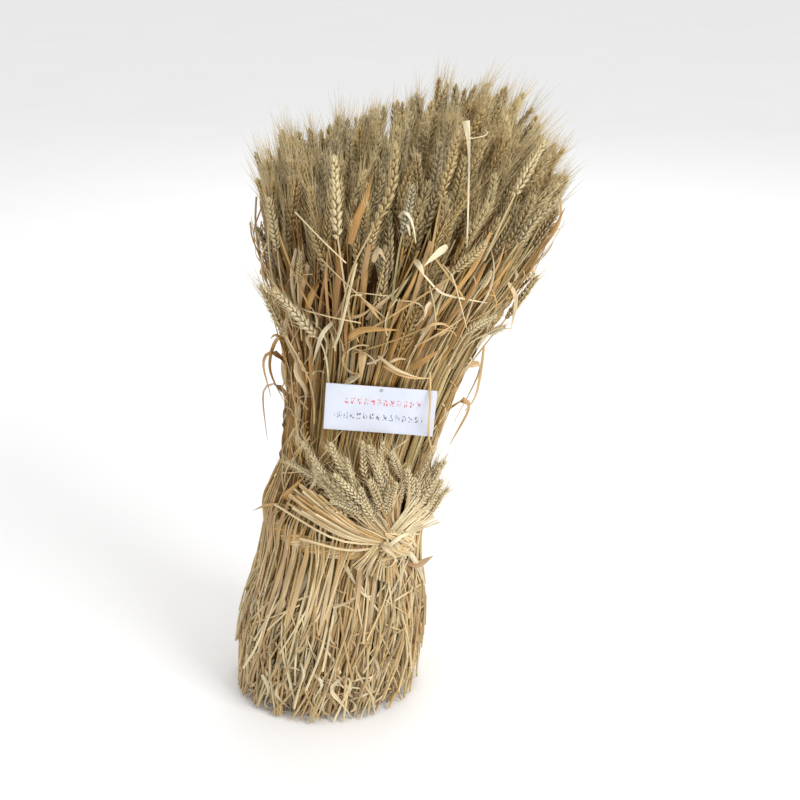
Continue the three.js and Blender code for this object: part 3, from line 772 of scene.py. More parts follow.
def low_eared_stalk(angle, foot, out, drift, rng):
    """A shorter stalk that stands out from the side, with its ear below the others."""
    points = trail(angle, foot, ((0, 1, -0.15, -9), (0, 1, -0.06, (out - 9) / 2),
                                 (drift / 2, 1, 0.025, out), (drift, 1, 0.085, out)))
    way = Way(points, outward(angle, foot))
    seed = rng.random() * 9
    # Its straw ends 2 mm inside its ear.
    return [laid(straw, way, 0.7, 0, 0, way.length - 0.075, 1.6 * MM, seed=seed),
            laid(EARS[1], way, 0.75, 0.2, way.length - 0.077, None, 0.95, seed=seed)]


def loose_straw(rng, angle):
    """A cut straw that has come away from the foot of the sheaf."""
    z = rng.uniform(0.07, 0.26)
    foot = max(0.004, z - rng.uniform(0.06, 0.2))
    turn = rng.triangular(-32, 32, 0)
    out = rng.uniform(0, 12)
    points = trail(angle, z, ((0, 0.95, 0, 0), (turn * 0.5, 1, (foot - z) / 2, out * 0.5),
                              (turn, 1, foot - z, out)))
    return strewn(stick, points, outward(angle, z), rng, rng.uniform(0.1, 1), rng.random() ** 3 * 0.6,
                  rng.uniform(1.1, 2.1) * MM)


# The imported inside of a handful: a block cut into levels and columns, then set in its place.
clear_selection()
bpy.ops.mesh.primitive_cube_add(size=1, location=(0.5, 0.5, 0.5))
block = bpy.context.object
block.name = block.data.name = "packed_block"
bpy.ops.object.transform_apply(location=True)
start_edit()
CORE_COLUMNS, CORE_ROWS = 12, 16
for axis, count in ((0, CORE_COLUMNS), (2, CORE_ROWS)):
    for i in range(1, count):
        bpy.ops.mesh.select_all(action="SELECT")
        cut = [i / count if k == axis else 0 for k in range(3)]
        bpy.ops.mesh.bisect(plane_co=cut, plane_no=[float(k == axis) for k in range(3)])
end_edit()
packed_block = keep_shape(block)
# the packed inside is darker than straw, as painted shade between the stalks
give(packed_block, PACKED_SHADE_LOOK)
# How deep the grooves are and how uneven the ridges, as shares of the radius.
GROOVE, ROUGH = 0.035, 0.012


def packed(middle, width, inner, outer, low, high, rng):
    rest = REST[packed_block.name]
    column = np.rint(rest[:, 0] * CORE_COLUMNS).astype(int)
    ridges = np.array([rng.uniform(-1, 1) for _ in range(CORE_COLUMNS + 1)])[column]
    groove = np.where(column % 2 == 0, -GROOVE, 0.0) + ROUGH * ridges
    share = inner + (outer - inner + groove) * rest[:, 1]
    z = low + (high - low) * rest[:, 2] + np.where(rest[:, 2] > 0.99, 0.02 * ridges, 0)
    place = sheaf_point(middle + width * (rest[:, 0] - 0.5), share, z)
    return [bent(packed_block, place, place + rng.random(),
                 np.tile((rng.random(), 0, 0, 1.0), (len(rest), 1)))]


KNOT_ANGLE, KNOT_Z = -50, 0.28
KNOT_WIDE = 22  # degrees to each side of the knot with no straw over the band
# By handful: degrees off its middle, height, mm off, and how far the stalk turns or the leaf falls.
LOW_STALKS = {7: (3, 0.585, 24, -22), 11: (0, 0.575, 12, 0), 2: (3, 0.6, 18, 0), 4: (-4, 0.575, 20, 0),
              0: (4, 0.63, 10, 0)}
LEAVES = {5: (6, 0.455, 34, 0.06), 6: (-8, 0.52, 30, 0.04), 0: (-6, 0.48, 36, 0.066),
          1: (5, 0.4, 30, 0.03), 3: (2, 0.44, 34, 0.05), 4: (7, 0.38, 26, 0.02),
          11: (8, 0.44, 30, 0.044), 8: (0, 0.565, 22, 0.014)}
OUTER_WIDE, INNER_WIDE = 30, 60  # the degrees that one handful takes up
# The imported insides: degrees across, inner and outer share of the radius, and lowest and highest level.
OUTER_CORE, INNER_CORE = (29.5, 0.62, 0.87, 0.018, 0.64), (59.5, 0.22, 0.61, 0.004, 0.73)
CENTRE_CORE = (119.5, 0.0, 0.21, 0.004, 0.75)
OUTER_EARS, OUTER_BARE, OUTER_LEAVES, OUTER_LOOSE, OUTER_BITS, OUTER_CROSSING = 24, 54, 32, 30, 42, 14
OVER_BAND, FOOT_SHREDS, INNER_EARS, CENTRE_EARS = 15, 15, 24, 12
# Steps whose fractions fill a width, and a depth, evenly.
ACROSS, INWARD = 0.618034, 0.7548


def finish_piece(parts, name, slot, *nodes):
    piece = join(parts, name)
    if nodes:
        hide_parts(*nodes)
    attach(piece, "root")
    return piece


def outer_handful(k):
    rng = random.Random(100 + k)
    middle = OUTER_WIDE * (k + 0.5)
    parts = packed(middle, *OUTER_CORE, rng)

    def somewhere(j):
        return middle + OUTER_WIDE * (j * ACROSS % 1 - 0.5) + rng.uniform(-1, 1)

    for j in range(OUTER_EARS):
        angle, share = somewhere(j), 0.66 + 0.33 * (j * INWARD % 1)
        sink = rng.random() ** 1.6 * (0.035 + 0.05 * max(0, share - 0.7) / 0.3)
        parts += eared_stalk(rng, angle, share, tip_height(angle, share) - sink, share > 0.8)
    for j in range(OUTER_BARE):
        angle, share = somewhere(j), 0.84 + 0.155 * (j * INWARD % 1)
        top = min(rng.uniform(0.52, 0.86), tip_height(angle, share) - 0.03)
        parts += bare_stalk(rng, angle, share, top, 7 if j % 3 else 16)
    for j in range(OUTER_LEAVES):
        parts += leaf_between(rng, somewhere(j), rng.uniform(0.93, 1.0))
    for j in range(OUTER_LOOSE):
        parts += loose_straw(rng, somewhere(j))
    for j in range(OUTER_BITS):
        z = rng.uniform(0.01, 0.27) if j % 2 else rng.uniform(0.33, 0.68)
        parts += bit(rng, somewhere(j), z, shred if j % 4 else stick)
    for j in range(FOOT_SHREDS):
        parts += bit(rng, somewhere(j), rng.uniform(0.006, 0.06), shred)
    for j in range(OVER_BAND):
        if abs((somewhere(j) - KNOT_ANGLE + 180) % 360 - 180) > KNOT_WIDE:
            parts += over_band(rng, somewhere(j))
    for j in range(OUTER_CROSSING):
        parts += crossing_straw(rng, somewhere(j))
    if k in LOW_STALKS:
        lean, foot, out, drift = LOW_STALKS[k]
        parts += low_eared_stalk(middle + lean, foot, out, drift, rng)
    if k in LEAVES:
        lean, z, reach, fall = LEAVES[k]
        parts += hanging_leaf(middle + lean, z, reach, fall, rng)
    return finish_piece(parts, f"outer_handful_{k + 1:02d}", "straw", f"handful_outer_{k + 1:02d}")


def inner_handful(k):
    rng = random.Random(200 + k)
    middle = INNER_WIDE * (k + 0.5)
    parts = packed(middle, *INNER_CORE, rng)
    for j in range(INNER_EARS):
        angle = middle + INNER_WIDE * (j * ACROSS % 1 - 0.5)
        share = 0.25 + 0.36 * (j * INWARD % 1)
        parts += eared_stalk(rng, angle, share, tip_height(angle, share) - rng.random() ** 2 * 0.06, False)
    return finish_piece(parts, f"inner_handful_{k + 1}", "straw", f"handful_inner_{k + 1}")


def centre_handful():
    rng = random.Random(300)
    parts = []
    for k in range(3):
        parts += packed(120 * k, *CENTRE_CORE, rng)
    for j in range(CENTRE_EARS):
        angle, share = 40 * j, 0.05 + 0.15 * (j * INWARD % 1)
        parts += eared_stalk(rng, angle, share, tip_height(angle, share) - rng.random() ** 2 * 0.05, False)
    return finish_piece(parts, "centre_handful", "straw", "handful_centre")


for k in range(360 // OUTER_WIDE):
    outer_handful(k)
for k in range(360 // INNER_WIDE):
    inner_handful(k)
centre_handful()

# ---- The band, its knot, its fan of ears and its cut ends ----

KNOT_HALF = np.array((0.023, 0.015, 0.021))  # half its width, depth and height
STAND_OFF = 0.017  # how far off the sheaf its straws start
STRANDS, TURNS = 15, 5
BAND_HIGH, BAND_DEEP, BAND_OFF = 11.5 * MM, 5 * MM, 1 * MM  # half its height and depth, and its gap


def band_ring(rng):
    parts = []
    around = np.linspace(KNOT_ANGLE + 2, KNOT_ANGLE + 358, STRAND_RINGS + 1)
    for k in range(STRANDS):
        own = rng.uniform(0.7, 1.04)
        section = np.radians(around * TURNS + 360 * k / STRANDS)
        points = sheaf_point(around, 1, band_z(around) + BAND_HIGH * own * np.sin(section),
                             BAND_OFF + BAND_DEEP * (1 + own * np.cos(section)))
        parts += strewn(strand, points, (0, 0, 1), rng, rng.triangular(0.35, 1, 0.75),
                        rng.random() ** 3 * 0.4, rng.uniform(1.9, 2.5) * MM, 2)
    return parts


def from_knot(lean, length, off):
    """The point at a length from the knot, leaning from upright by an angle, off the sheaf's surface."""
    start = sheaf_point(KNOT_ANGLE, 1, KNOT_Z)
    z = KNOT_Z + length * cos(radians(lean))
    x = start[0] + length * sin(radians(lean))
    return sheaf_point(front_angle(x, z), 1, z, off)


def fan_ear(lean, length, out, rng):
    points = [from_knot(lean * (1 - 0.12 * t), length * t, STAND_OFF + (out - STAND_OFF) * t)
              for t in (0.02, 0.35, 0.68)]
    points.append(from_knot(lean + rng.uniform(-9, 9), length, out))
    way = Way(points, (rng.uniform(-1.5, 1.5), -1, 0.25))
    ear = min(0.075, length * 0.58) * rng.uniform(0.7, 1.05)
    seed = rng.random() * 9
    kind = rng.choice((CREAM_EAR, CREAM_EAR, EARS[0], EARS[3], EARS[1], EARS[1]))
    return with_ear(way, kind, ear, (rng.uniform(0.5, 1), 0.1), 1.3,
                    (rng.uniform(0.75, 1), rng.random() ** 3 * 0.5), rng.uniform(0.72, 1.0), seed,
                    (0.4, rng.uniform(0.9, 1.4)))


def loose_blade(lean, length, out, rng):
    """A thin leaf or straw among the ears of the band."""
    points = [from_knot(lean, length * 0.15, STAND_OFF),
              from_knot(lean + rng.uniform(-5, 5), length * 0.6, out),
              from_knot(lean + rng.uniform(-14, 14), length, out * rng.uniform(0.5, 1))]
    mesh = rng.choice((blade, shred, shred, stick))
    width = rng.uniform(0.9, 1.3) * MM if mesh is stick else rng.uniform(0.35, 0.9)
    return strewn(mesh, points, (0, -1, 0.2), rng, rng.uniform(0.5, 1), rng.random() ** 2 * 0.4, width, 6,
                  roll=rng.uniform(-0.6, 0.6), twist=rng.uniform(-1.5, 1.5))


def butt_end(lean, length, out, rng, width):
    """One cut end of the band's straws. The lowest of them are the palest."""
    pale = 0.5 if lean < -68 else 0.0
    points = [from_knot(lean + 6 * (t - 0.5), length * t, STAND_OFF + (out - STAND_OFF) * t)
              for t in (0.05, 0.5, 1)]
    return [laid(stick, Way(points, (0, -1, 0.2)), rng.triangular(0.3, 0.95, 0.75), 0,
                 width=width * rng.uniform(0.8, 1.2) * MM, seed=rng.random() * 9,
                 faded=pale + rng.uniform(0, 0.4))]


# Each row is a lean from upright in degrees, a length and how far the end stands off, in mm.
BAND_EARS = (
    (-46, 166, 15), (-35, 148, 21), (-24, 160, 13), (-13, 126, 26), (-2, 146, 14), (10, 130, 22),
    (25, 122, 15), (46, 120, 22), (57, 120, 42), (-52, 138, 13), (-42, 178, 14), (-36, 196, 15),
    (-31, 186, 12), (-28, 118, 25), (-24, 184, 13), (-18, 180, 12), (-13, 176, 14), (-9, 158, 16),
    (-6, 112, 26), (-2, 172, 12), (4, 158, 13), (16, 112, 22), (19, 142, 14), (33, 116, 18),
    (39, 128, 14), (51, 104, 27), (62, 112, 34))
BAND_BUTTS = (
    (-50, 138, 20), (-54, 146, 15), (-58, 140, 21), (-62, 144, 16), (-66, 136, 21), (-71, 152, 25),
    (-84, 116, 21), (-48, 126, 19), (-52, 132, 17), (-53, 140, 22), (-55, 120, 24), (-56, 136, 17),
    (-57, 148, 18), (-60, 130, 23), (-61, 142, 19), (-63, 134, 15), (-64, 126, 22), (-67, 144, 18),
    (-68, 128, 16), (-59, 112, 25), (-51, 110, 22))
RANDOM_EARS, RANDOM_BLADES, RANDOM_BUTTS = 18, 52, 44


def over_knot(tilt, offset, lift, rng, reach):
    """A straw wound over the knot, from one side of it to the other."""
    middle = sheaf_point(KNOT_ANGLE, 1, KNOT_Z, KNOT_HALF[1] + 0.0012)
    away = outward(KNOT_ANGLE, KNOT_Z)
    side = np.array((-away[1], away[0], 0))
    c, s = cos(radians(tilt)), sin(radians(tilt))
    points = []
    for v in np.linspace(-reach, reach, 7):
        u = offset * (1 - 0.25 * v * v)
        x, z = u * c - v * s, u * s + v * c
        depth = sqrt(max(0.02, 1.12 - u * u - v * v))
        points.append(middle + side * x * KNOT_HALF[0] + np.array((0, 0, 1)) * z * KNOT_HALF[2]
                      + away * (depth * KNOT_HALF[1] + lift))
    return strewn(stick, points, away, rng, rng.triangular(0.5, 1, 0.9), rng.random() ** 3 * 0.4,
                  rng.uniform(1.9, 2.7) * MM)


def straw_band():
    rng = random.Random(77)
    parts = band_ring(rng)
    for lean, length, out in BAND_EARS:
        parts += fan_ear(lean + rng.uniform(-3, 3), length * MM, out * MM, rng)
    for _ in range(RANDOM_EARS):
        lean = rng.uniform(-48, 52)
        parts += fan_ear(lean, rng.uniform(88, 156 - max(0, lean)) * MM, rng.uniform(12, 30) * MM, rng)
    for _ in range(RANDOM_BLADES):
        lean = rng.uniform(-48, 58)
        parts += loose_blade(lean, rng.uniform(60, 140 - max(0, lean) * 0.6) * MM,
                             rng.uniform(10, 27) * MM, rng)
    for lean, length, out in BAND_BUTTS:
        parts += butt_end(lean, length * MM, out * MM, rng, 1.8)
    for _ in range(RANDOM_BUTTS):
        parts += butt_end(rng.uniform(-68, -50), rng.uniform(104, 150) * MM, rng.uniform(9, 21) * MM, rng,
                          1.4)
    # Each layer of the knot: count, tilt and its spread, first offset, step, lowest and highest lift in mm.
    for count, tilt, wide, first, step, low, high in ((11, 38, 20, -0.9, 0.18, -1, 2.5),
                                                      (9, -52, 22, -0.8, 0.2, -3, 1)):
        for i in range(count):
            parts += over_knot(tilt + rng.uniform(-wide, wide), first + step * i,
                               rng.uniform(low, high) * MM, rng, rng.uniform(1, 1.5))
    return finish_piece(parts, "twisted_straw_band", "band_straw", "straw_band")


straw_band()

# ---- The card and its pin ----

CARD = dict(width=0.146, height=0.072, thick=0.0008, x=0.080, z=0.498, roll=4.6, clear=0.0001)
CARD_LEVELS = (0.4, 0.541)
RIDGE_TOP = 0.9875  # the share of the radius that the foremost straws reach
card_low, card_high = (sheaf_point(-90 - float(np.interp(z, LEVELS, TURN)), RIDGE_TOP, z)[1]
                       for z in CARD_LEVELS)
card_pitch = atan2(card_low - card_high, CARD_LEVELS[1] - CARD_LEVELS[0])
card_y = (float(np.interp(CARD["z"], CARD_LEVELS, (card_low, card_high)))
          - CARD["thick"] / 2 - CARD["clear"])
# Brings what is drawn about the middle of the card to its place.
ON_CARD = (Matrix.Translation((CARD["x"], card_y, CARD["z"]))
           @ Matrix.Rotation(radians(CARD["roll"]), 4, "Y") @ Matrix.Rotation(card_pitch, 4, "X"))

BOW, WAVE, EDGE = 1.2 * MM, 0.4 * MM, 0.2 * MM  # how far the card bows, waves and is rounded
# The marks: half a row's height, marks in a row, the inked share of each, and how fine its strokes are.
MARK = dict(half_height=0.065, per_row=17, width=0.62, across=78.0, up=17.0)


def card_material():
    material, tree, shader = new_material("printed_card")
    across, up = add(tree, "SeparateXYZ", {0: add(tree, "UVMap").outputs[0]}).outputs[:2]
    coords = add(tree, "TexCoord").outputs["Object"]
    pulp, soil = noise(tree, coords, 900.0, 3.0), noise(tree, coords, 26.0, 4.0)
    white = mix(tree, spread(tree, soil, 0.35, 0.75), shade(219, 224, 238), shade(205, 209, 221))
    white = mix(tree, spread(tree, pulp, 0.3, 0.7, 0.0, 0.25), white, shade(196, 199, 211))

    def times(a, b):
        return math_node(tree, "MULTIPLY", a, b)

    def printed(row, left, right, ink, below):
        """A row of small generic marks, too rough to read."""
        off_row = math_node(tree, "ABSOLUTE", math_node(tree, "SUBTRACT", up, row))
        step = math_node(tree, "FRACT", times(across, MARK["per_row"]))
        stretched = add(tree, "CombineXYZ", {0: times(across, MARK["across"]), 1: times(up, MARK["up"]),
                                             2: row * 9}).outputs[0]
        mask = spread(tree, across, left, left + 0.001)
        for inside in (spread(tree, across, right, right - 0.001),
                       math_node(tree, "LESS_THAN", off_row, MARK["half_height"]),
                       math_node(tree, "LESS_THAN", step, MARK["width"]),
                       spread(tree, noise(tree, stretched, 1.0, 0.0), 0.5, 0.58, 0.0, 0.85)):
            mask = times(mask, inside)
        return mix(tree, mask, below, ink)

    white = printed(0.66, 0.16, 0.86, shade(206, 66, 60), white)
    white = printed(0.34, 0.09, 0.89, shade(70, 70, 84), white)
    feed(tree, shader, {"Base Color": white, "Roughness": spread(tree, pulp, 0.3, 0.7, 0.42, 0.56),
                        "Normal": bump(tree, pulp, 0.15, 0.0002)})
    return material


def card():
    clear_selection()
    bpy.ops.mesh.primitive_grid_add(x_subdivisions=16, y_subdivisions=8, size=1,
                                    rotation=(pi / 2, 0, 0))
    sheet = bpy.context.object
    bpy.ops.object.transform_apply(rotation=True)
    for v in sheet.data.vertices:
        bow = BOW * (4 * v.co.x**2 - 0.4) + WAVE * sin(9 * v.co.x + 5 * v.co.z)
        v.co = (v.co.x * CARD["width"], -max(bow, 0) * 0.5, v.co.z * CARD["height"])
    thicken = sheet.modifiers.new("thickness", "SOLIDIFY")
    thicken.thickness, thicken.offset = CARD["thick"], 0
    soften = sheet.modifiers.new("edge", "BEVEL")
    soften.width, soften.segments = EDGE, 2
    for modifier in ("thickness", "edge"):
        bpy.ops.object.modifier_apply(modifier=modifier)
    bpy.ops.object.shade_smooth_by_angle(angle=radians(40))
    layer = sheet.data.uv_layers[0] if sheet.data.uv_layers else sheet.data.uv_layers.new()
    for loop in sheet.data.loops:
        co = sheet.data.vertices[loop.vertex_index].co
        layer.data[loop.index].uv = (co.x / CARD["width"] + 0.5, co.z / CARD["height"] + 0.5)
    sheet.data.transform(ON_CARD)
    give(sheet.data, card_material())
    return finish_piece([sheet], "pinned_card", "card", "card")


def pin_material():
    material, tree, shader = new_material("pin_steel")
    grain = noise(tree, add(tree, "TexCoord").outputs["Object"], 1500.0, 3.0)
    feed(tree, shader, {"Base Color": mix(tree, grain, shade(150, 150, 152), shade(206, 206, 208)),
                        "Roughness": spread(tree, grain, 0.3, 0.7, 0.2, 0.38), "Metallic": 1.0})
    return material


# The pin from its domed head to its point: distance and radius.
PIN_RINGS = in_mm((0, 0.6), (0.2, 1.5), (0.5, 2.1), (0.85, 2.2), (1, 2), (1.05, 0.7), (1.4, 0.55),
                  (16, 0.55), (18.5, 0.35), (20, 0.08))
PIN_FROM_TOP, PIN_CLEAR, PIN_HEAD = 5 * MM, 0.35 * MM, 1 * MM


def pin():
    shaft = drawn_tube("pin", 20, PIN_RINGS)
    bpy.ops.object.shade_smooth_by_angle(angle=radians(40))
    place = (0, -CARD["thick"] / 2 - PIN_CLEAR - PIN_HEAD, CARD["height"] / 2 - PIN_FROM_TOP)
    shaft.data.transform(ON_CARD @ Matrix.Translation(place) @ Matrix.Rotation(-pi / 2, 4, "X"))
    give(shaft.data, pin_material())
    return finish_piece([shaft], "card_pin", "pin", "pin")


# ---- Loose leaves, straws and ears that catch the eye ----

# Each is given by places in the photographer's view, with how far each stands off the surface, in mm.
# shape, tone, tint, width, twist, places
LOOSE_BITS = (
    (sheath, 0.95, 0.15, 0.9, 0.3, ((467, 247, 3), (468, 215, 8), (469, 150, 12), (466, 121, 12))),
    (stick, 0.9, 0, 0.7, 0, ((488, 132, 6), (484, 136, 12), (468, 139, 13))),
    (shred, 1, 0.2, 1.2, 1, ((399, 217, 9), (405, 212, 14), (412, 222, 11), (416, 243, 6))),
    (shred, 1, 0, 1, 0.5, ((400, 216, 11), (408, 226, 12), (410, 236, 7))),
    (blade, 0.7, 0.1, 0.7, 0.4, ((373, 262, 4), (379, 250, 11), (386, 262, 4))),
    (blade, 1, 0, 0.9, 0.5, ((447, 246, 3), (437, 254, 10), (424, 266, 11))),
    (blade, 0.95, 0, 0.8, 0.2, ((415, 260, 9), (420, 267, 12), (424, 276, 8))),
    (shred, 0.95, 0, 0.8, 0.8, ((424, 275, 8), (440, 292, 7), (455, 297, 7), (487, 303, 5))),
    (stick, 0.9, 0, 0.9, 0, ((443, 265, 4), (452, 275, 9), (462, 310, 7), (468, 334, 3))),
    (shred, 0.6, 0.1, 1.2, 0.6, ((484, 345, 2), (482, 362, 9), (476, 395, 11), (465, 411, 12))),
    (blade, 0.75, 0, 0.6, 0.6, ((508, 282, 3), (516, 300, 12), (510, 333, 10))),
    (stick, 0.95, 0, 1, 0, ((295, 212, 5), (322, 240, 9), (346, 263, 2))),
    (stick, 0.85, 0, 0.8, 0, ((344, 291, 6), (388, 296, 6))),
    (stick, 0.85, 0, 0.9, 0, ((294, 306, 4), (326, 316, 8), (361, 323, 5))),
    (stick, 0.95, 0.1, 2, 0, ((356, 263, 4), (341, 328, 8), (334, 347, 5))),
    (blade, 0.95, 0.1, 0.6, 0.8, ((334, 321, 5), (322, 335, 10), (312, 366, 5))),
    (blade, 0.45, 0, 0.9, 0.3, ((345, 341, 4), (362, 330, 9), (399, 330, 4))),
    (blade, 0.3, 0, 1, 0.3, ((350, 244, -8), (357, 220, 1), (365, 200, 1), (374, 172, -9))),
    (blade, 0.3, 0, 0.9, -0.3, ((411, 369, 3), (425, 360, 8), (441, 349, 4))),
    (blade, 0.6, 0, 0.5, 0.5, ((384, 366, 2), (400, 374, 7), (416, 378, 11), (432, 378, 13))),
    (blade, 0.75, 0, 0.45, 0.6, ((378, 356, 2), (394, 368, 8), (410, 375, 11), (421, 378, 13))),
    (shred, 0.6, 0.1, 0.9, 1, ((346, 350, 2), (343, 362, 8), (350, 372, 9), (362, 374, 5))),
    (blade, 0.8, 0.1, 0.7, 0.9, ((300, 352, 2), (296, 372, 9), (306, 392, 6), (303, 410, 4))),
    (shred, 0.7, 0.2, 1.5, 1.4, ((318, 330, 2), (307, 338, 10), (312, 352, 9), (304, 364, 6))),
    (blade, 0.65, 0, 0.45, 0.9, ((420, 334, 2), (431, 325, 6), (444, 324, 6), (452, 330, 3))),
    (blade, 0.55, 0.1, 0.5, 1.2, ((362, 300, 2), (370, 306, 5), (376, 315, 5), (384, 324, 3))),
    (blade, 0.8, 0.1, 0.4, 1.2, ((436, 298, 2), (427, 306, 6), (425, 316, 6), (416, 326, 3))),
    (blade, 0.5, 0.1, 0.55, 0.8, ((287, 334, 2), (275, 342, 10), (270, 370, 14), (285, 403, 4))),
    (blade, 0.4, 0.2, 0.5, 0.5, ((286, 342, 2), (276, 335, 12), (270, 339, 16))),
    (stick, 0.2, 0, 1.4, 0, ((429, 440, 5), (431, 481, 12))),
    (stick, 0.95, 0, 1.5, 0, ((391, 451, 14), (408, 439, 12))),
    (stick, 1, 0, 2.6, 0, ((353, 521, 20), (373, 528, 22))),
    (shred, 1, 0.2, 1.4, 0.7, ((378, 550, 17), (390, 545, 34), (404, 535, 34), (419, 534, 18))),
    (blade, 0.5, 0, 0.8, 0.8, ((388, 538, 0), (394, 562, 28), (401, 584, 12))),
    (blade, 0.75, 0.2, 0.7, -0.8, ((386, 538, 0), (372, 562, 28), (364, 580, 14))),
    (shred, 0.8, 0.2, 1.6, 1.2,
     ((376, 540, 18), (386, 549, 36), (396, 558, 33), (388, 568, 27), (377, 560, 25))),
    (shred, 0.9, 0.1, 1.5, 1, ((386, 535, 18), (397, 545, 35), (403, 556, 31), (397, 568, 20))),
    (blade, 0.95, 0.05, 0.75, 0.5, ((394, 540, 15), (410, 553, 15), (421, 573, 8), (427, 598, 4))),
    (blade, 0.1, 0, 1.1, 0.4, ((402, 560, 3), (418, 564, 12), (433, 556, 15))),
    (stick, 0.95, 0.1, 1.4, 0, ((384, 607, 2), (402, 596, 6), (421, 584, 3))),
    (stick, 0.9, 0.1, 1.2, 0, ((400, 548, 3), (412, 560, 7), (420, 582, 3))),
    (blade, 0.6, 0.8, 0.7, 0.3, ((337, 544, 5), (345, 565, 12), (358, 588, 4))),
    (shred, 0.85, 0.1, 1.4, 0.4, ((303, 470, 6), (317, 476, 15), (298, 508, 7))),
    (blade, 0.45, 0, 1, 0.3, ((281, 501, 9), (291, 490, 17), (305, 476, 8))),
    (blade, 0.5, 0.1, 0.55, 0.7, ((288, 505, 3), (268, 505, 14), (252, 511, 18))),
    (shred, 0.95, 0.5, 1.6, 2, ((262, 675, 3), (269, 690, 12), (265, 705, 9), (281, 711, 5))),
    (shred, 0.9, 0.3, 1.5, 1.6, ((286, 678, 3), (276, 693, 13), (289, 708, 6))),
    (shred, 1, 0.5, 1.5, 2.2, ((309, 669, 3), (322, 684, 14), (314, 702, 10), (329, 716, 5))),
    (shred, 0.9, 0.2, 1.6, 1.2, ((345, 676, 3), (331, 689, 14), (343, 705, 8), (352, 718, 4))),
    (blade, 0.95, 0.3, 0.5, 1.5, ((300, 660, 4), (304, 676, 12), (296, 694, 9))),
    (stick, 0.9, 0.1, 1.8, 0, ((270, 610, 3), (257, 645, 10), (243, 668, 8))),
    (stick, 0.95, 0, 2, 0, ((330, 612, 3), (320, 655, 9), (306, 690, 6))),
    (stick, 0.8, 0.2, 1.9, 0, ((398, 600, 3), (408, 640, 8), (412, 668, 6))),
)
# ear, tone, tint, width, length of the ear in mm, places
LOOSE_EARS = (
    (0, 0.9, 0.1, 1.2, 104, ((352, 330, -3), (343, 275, 1), (337, 228, 6), (334, 152, 9))),
    (3, 0.7, 0.1, 1.05, 112, ((338, 335, -3), (350, 275, 1), (371, 232, 6), (391, 190, 9), (396, 139, 8))),
    (0, 0.6, 1, 1, 62, ((392, 300, -3), (399, 250, 1), (406, 220, 8), (413, 183, 9))),
    (1, 1, 0.1, 1.1, 88, ((330, 400, -2), (324, 350, 4), (300, 318, 14), (271, 286, 22))),
    (3, 0.7, 0.2, 0.65, 52, ((302, 340, -2), (298, 292, 7), (301, 251, 8))),
    (0, 0.8, 0.1, 1, 56, ((430, 330, -3), (446, 285, 3), (458, 268, 8), (488, 242, 9))),
    (2, 1, 0.3, 0.6, 30, ((466, 320, -2), (474, 298, 4), (484, 284, 9), (492, 270, 10))),
    (1, 0.95, 0.3, 0.8, 50, ((448, 365, -3), (463, 338, 4), (476, 326, 10), (498, 314, 14))),
    (1, 0.9, 0.5, 0.8, 50, ((452, 368, -3), (467, 346, 4), (482, 336, 10), (506, 326, 14))),
    (2, 0.95, 0.2, 0.6, 26, ((338, 390, -1), (346, 383, 5), (360, 375, 6))),
    (0, 0.85, 0.3, 0.95, 80, ((300, 350, -2), (283, 290, 2), (276, 240, 6), (268, 195, 8))),
    (3, 0.6, 0.1, 0.95, 84, ((430, 260, -3), (438, 215, 2), (446, 180, 7), (460, 128, 9))),
    (0, 0.85, 0.2, 1, 84, ((484, 260, -3), (505, 215, 2), (520, 185, 8), (546, 138, 8))),
    (3, 0.8, 0.6, 1, 80, ((500, 270, -3), (520, 240, 4), (534, 220, 8), (560, 198, 10))),
)
ROOTED = -4  # the first end of each of the bits is in among the straws


def spray(rng, count, places, tones, faded, width):
    """Straws side by side; each place is a pixel, the step from the first to the last, and mm off."""
    parts = []
    for i in range(count):
        t = i / (count - 1)
        points = [seen_at(x + t * dx + rng.uniform(-1.5, 1.5), y + t * dy + rng.uniform(-1.5, 1.5),
                          (out + rng.uniform(-2, 1)) * MM) for (x, y), (dx, dy), out in places]
        parts.append(laid(stick, Way(points, (0.1, -1, 0.3), 6), rng.uniform(*tones),
                          rng.random() ** 3 * 0.3, width=width * rng.uniform(0.75, 1.15) * MM,
                          seed=rng.random() * 9, faded=rng.uniform(*faded)))
    return parts


KNOT_SPRAY = (((374, 546), (16, 14), 4), ((398, 520), (14, 14), 27), ((414, 496), (24, 26), 25))
KNOT_TAIL = (((382, 532), (12, 4), 4), ((366, 552), (24, 12), 24), ((352, 567), (40, 20), 12))


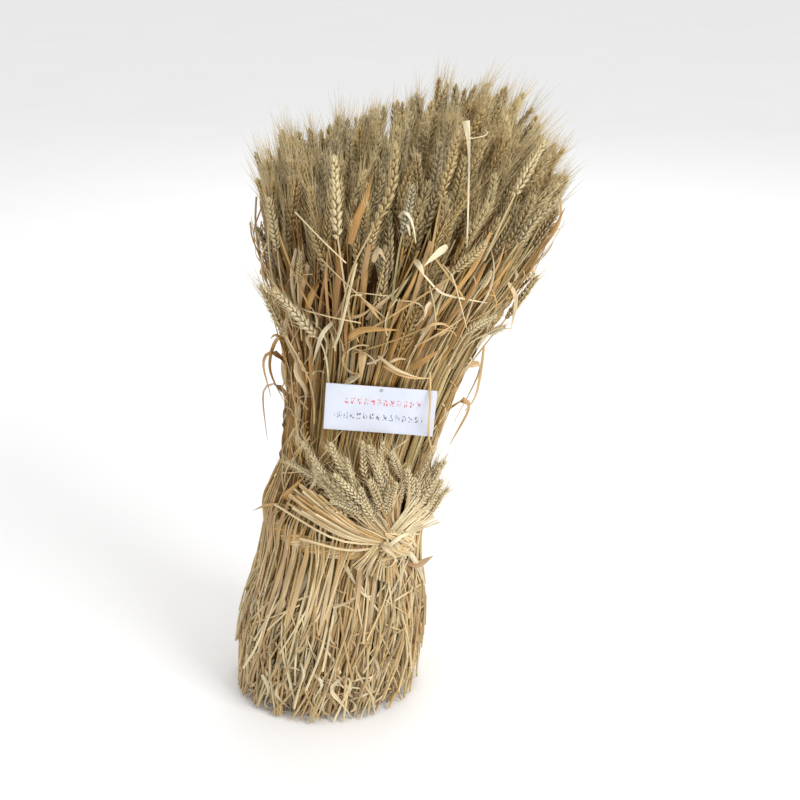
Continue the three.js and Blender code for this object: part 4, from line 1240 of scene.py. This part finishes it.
def loose_bits():
    rng = random.Random(41)
    parts = []
    for mesh, tone, tint, width, twist, places in LOOSE_BITS:
        offs = [ROOTED, *(out for _, _, out in places[1:])]
        points = [seen_at(px, py, off * MM) for (px, py, _), off in zip(places, offs)]
        width *= MM if mesh is stick else 1
        parts += strewn(mesh, points, (0.1, -1, 0.3), rng, tone, tint, width, 6, twist=twist)
    for kind, tone, tint, width, length, places in LOOSE_EARS:
        way = Way([seen_at(px, py, out * MM) for px, py, out in places], (0.2, -1, 0.2), 8)
        parts += with_ear(way, EARS[kind], length * MM, (tone, tint), 1.6, (tone, tint), width,
                          rng.random() * 9, (0, min(1, max(0, 5 * tone - 4))))
    # The bleached straws pushed up through the knot, and their cut ends below it.
    parts += spray(rng, 15, KNOT_SPRAY, (0.8, 1.0), (0.5, 1.0), 1.6)
    parts += spray(rng, 15, KNOT_TAIL, (0.5, 1.0), (0.0, 0.7), 1.5)
    # The straw that hangs across the end of the card.
    over_card = [seen_at(430, 372, 0.002), ON_CARD @ Vector((0.064, -0.005, 0.03)),
                 ON_CARD @ Vector((0.067, -0.005, -0.028)), seen_at(432, 452, 0.012)]
    parts.append(laid(stick, Way(over_card, (0, -1, 0.3), 6), 0.7, 0, width=1.5 * MM, seed=2))
    return finish_piece(parts, "loose_leaves_and_ears", "straw")


card()
pin()
loose_bits()

# ---- The room ----

def floor_material():
    material, tree, shader = new_material("pale_floor")
    cloud = noise(tree, add(tree, "TexCoord").outputs["Object"], 3.0)
    feed(tree, shader, {"Base Color": mix(tree, cloud, (0.92, 0.92, 0.92, 1), (0.95, 0.95, 0.95, 1)),
                        "Roughness": 0.9, "Specular IOR Level": 0.1})
    return material


clear_selection()
bpy.ops.mesh.primitive_plane_add(size=60)
floor = bpy.context.object
floor.name = "floor"
give(floor.data, floor_material())
floor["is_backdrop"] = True

for name, place, size, power in (("key", (2.2, -1.8, 2.3), 1.4, 67), ("fill", (-2.2, -1.4, 1.5), 2.4, 1),
                                 ("back", (0.4, 2.2, 2.2), 2.0, 18)):
    bpy.ops.object.light_add(type="AREA", location=place)
    light = bpy.context.object
    light.name = name
    light.data.size, light.data.energy = size, power
    light.rotation_euler = (AIM - Vector(place)).to_track_quat("-Z", "Y").to_euler()

world = bpy.data.worlds.new("soft_room")
bpy.context.scene.world = world
world.use_nodes = True
feed(world.node_tree, world.node_tree.nodes["Background"].inputs,
     {"Color": (1, 1, 1, 1), "Strength": 0.86})
bpy.context.scene.view_settings.view_transform = "Standard"

for o in (husk, awn):
    bpy.data.objects.remove(o)
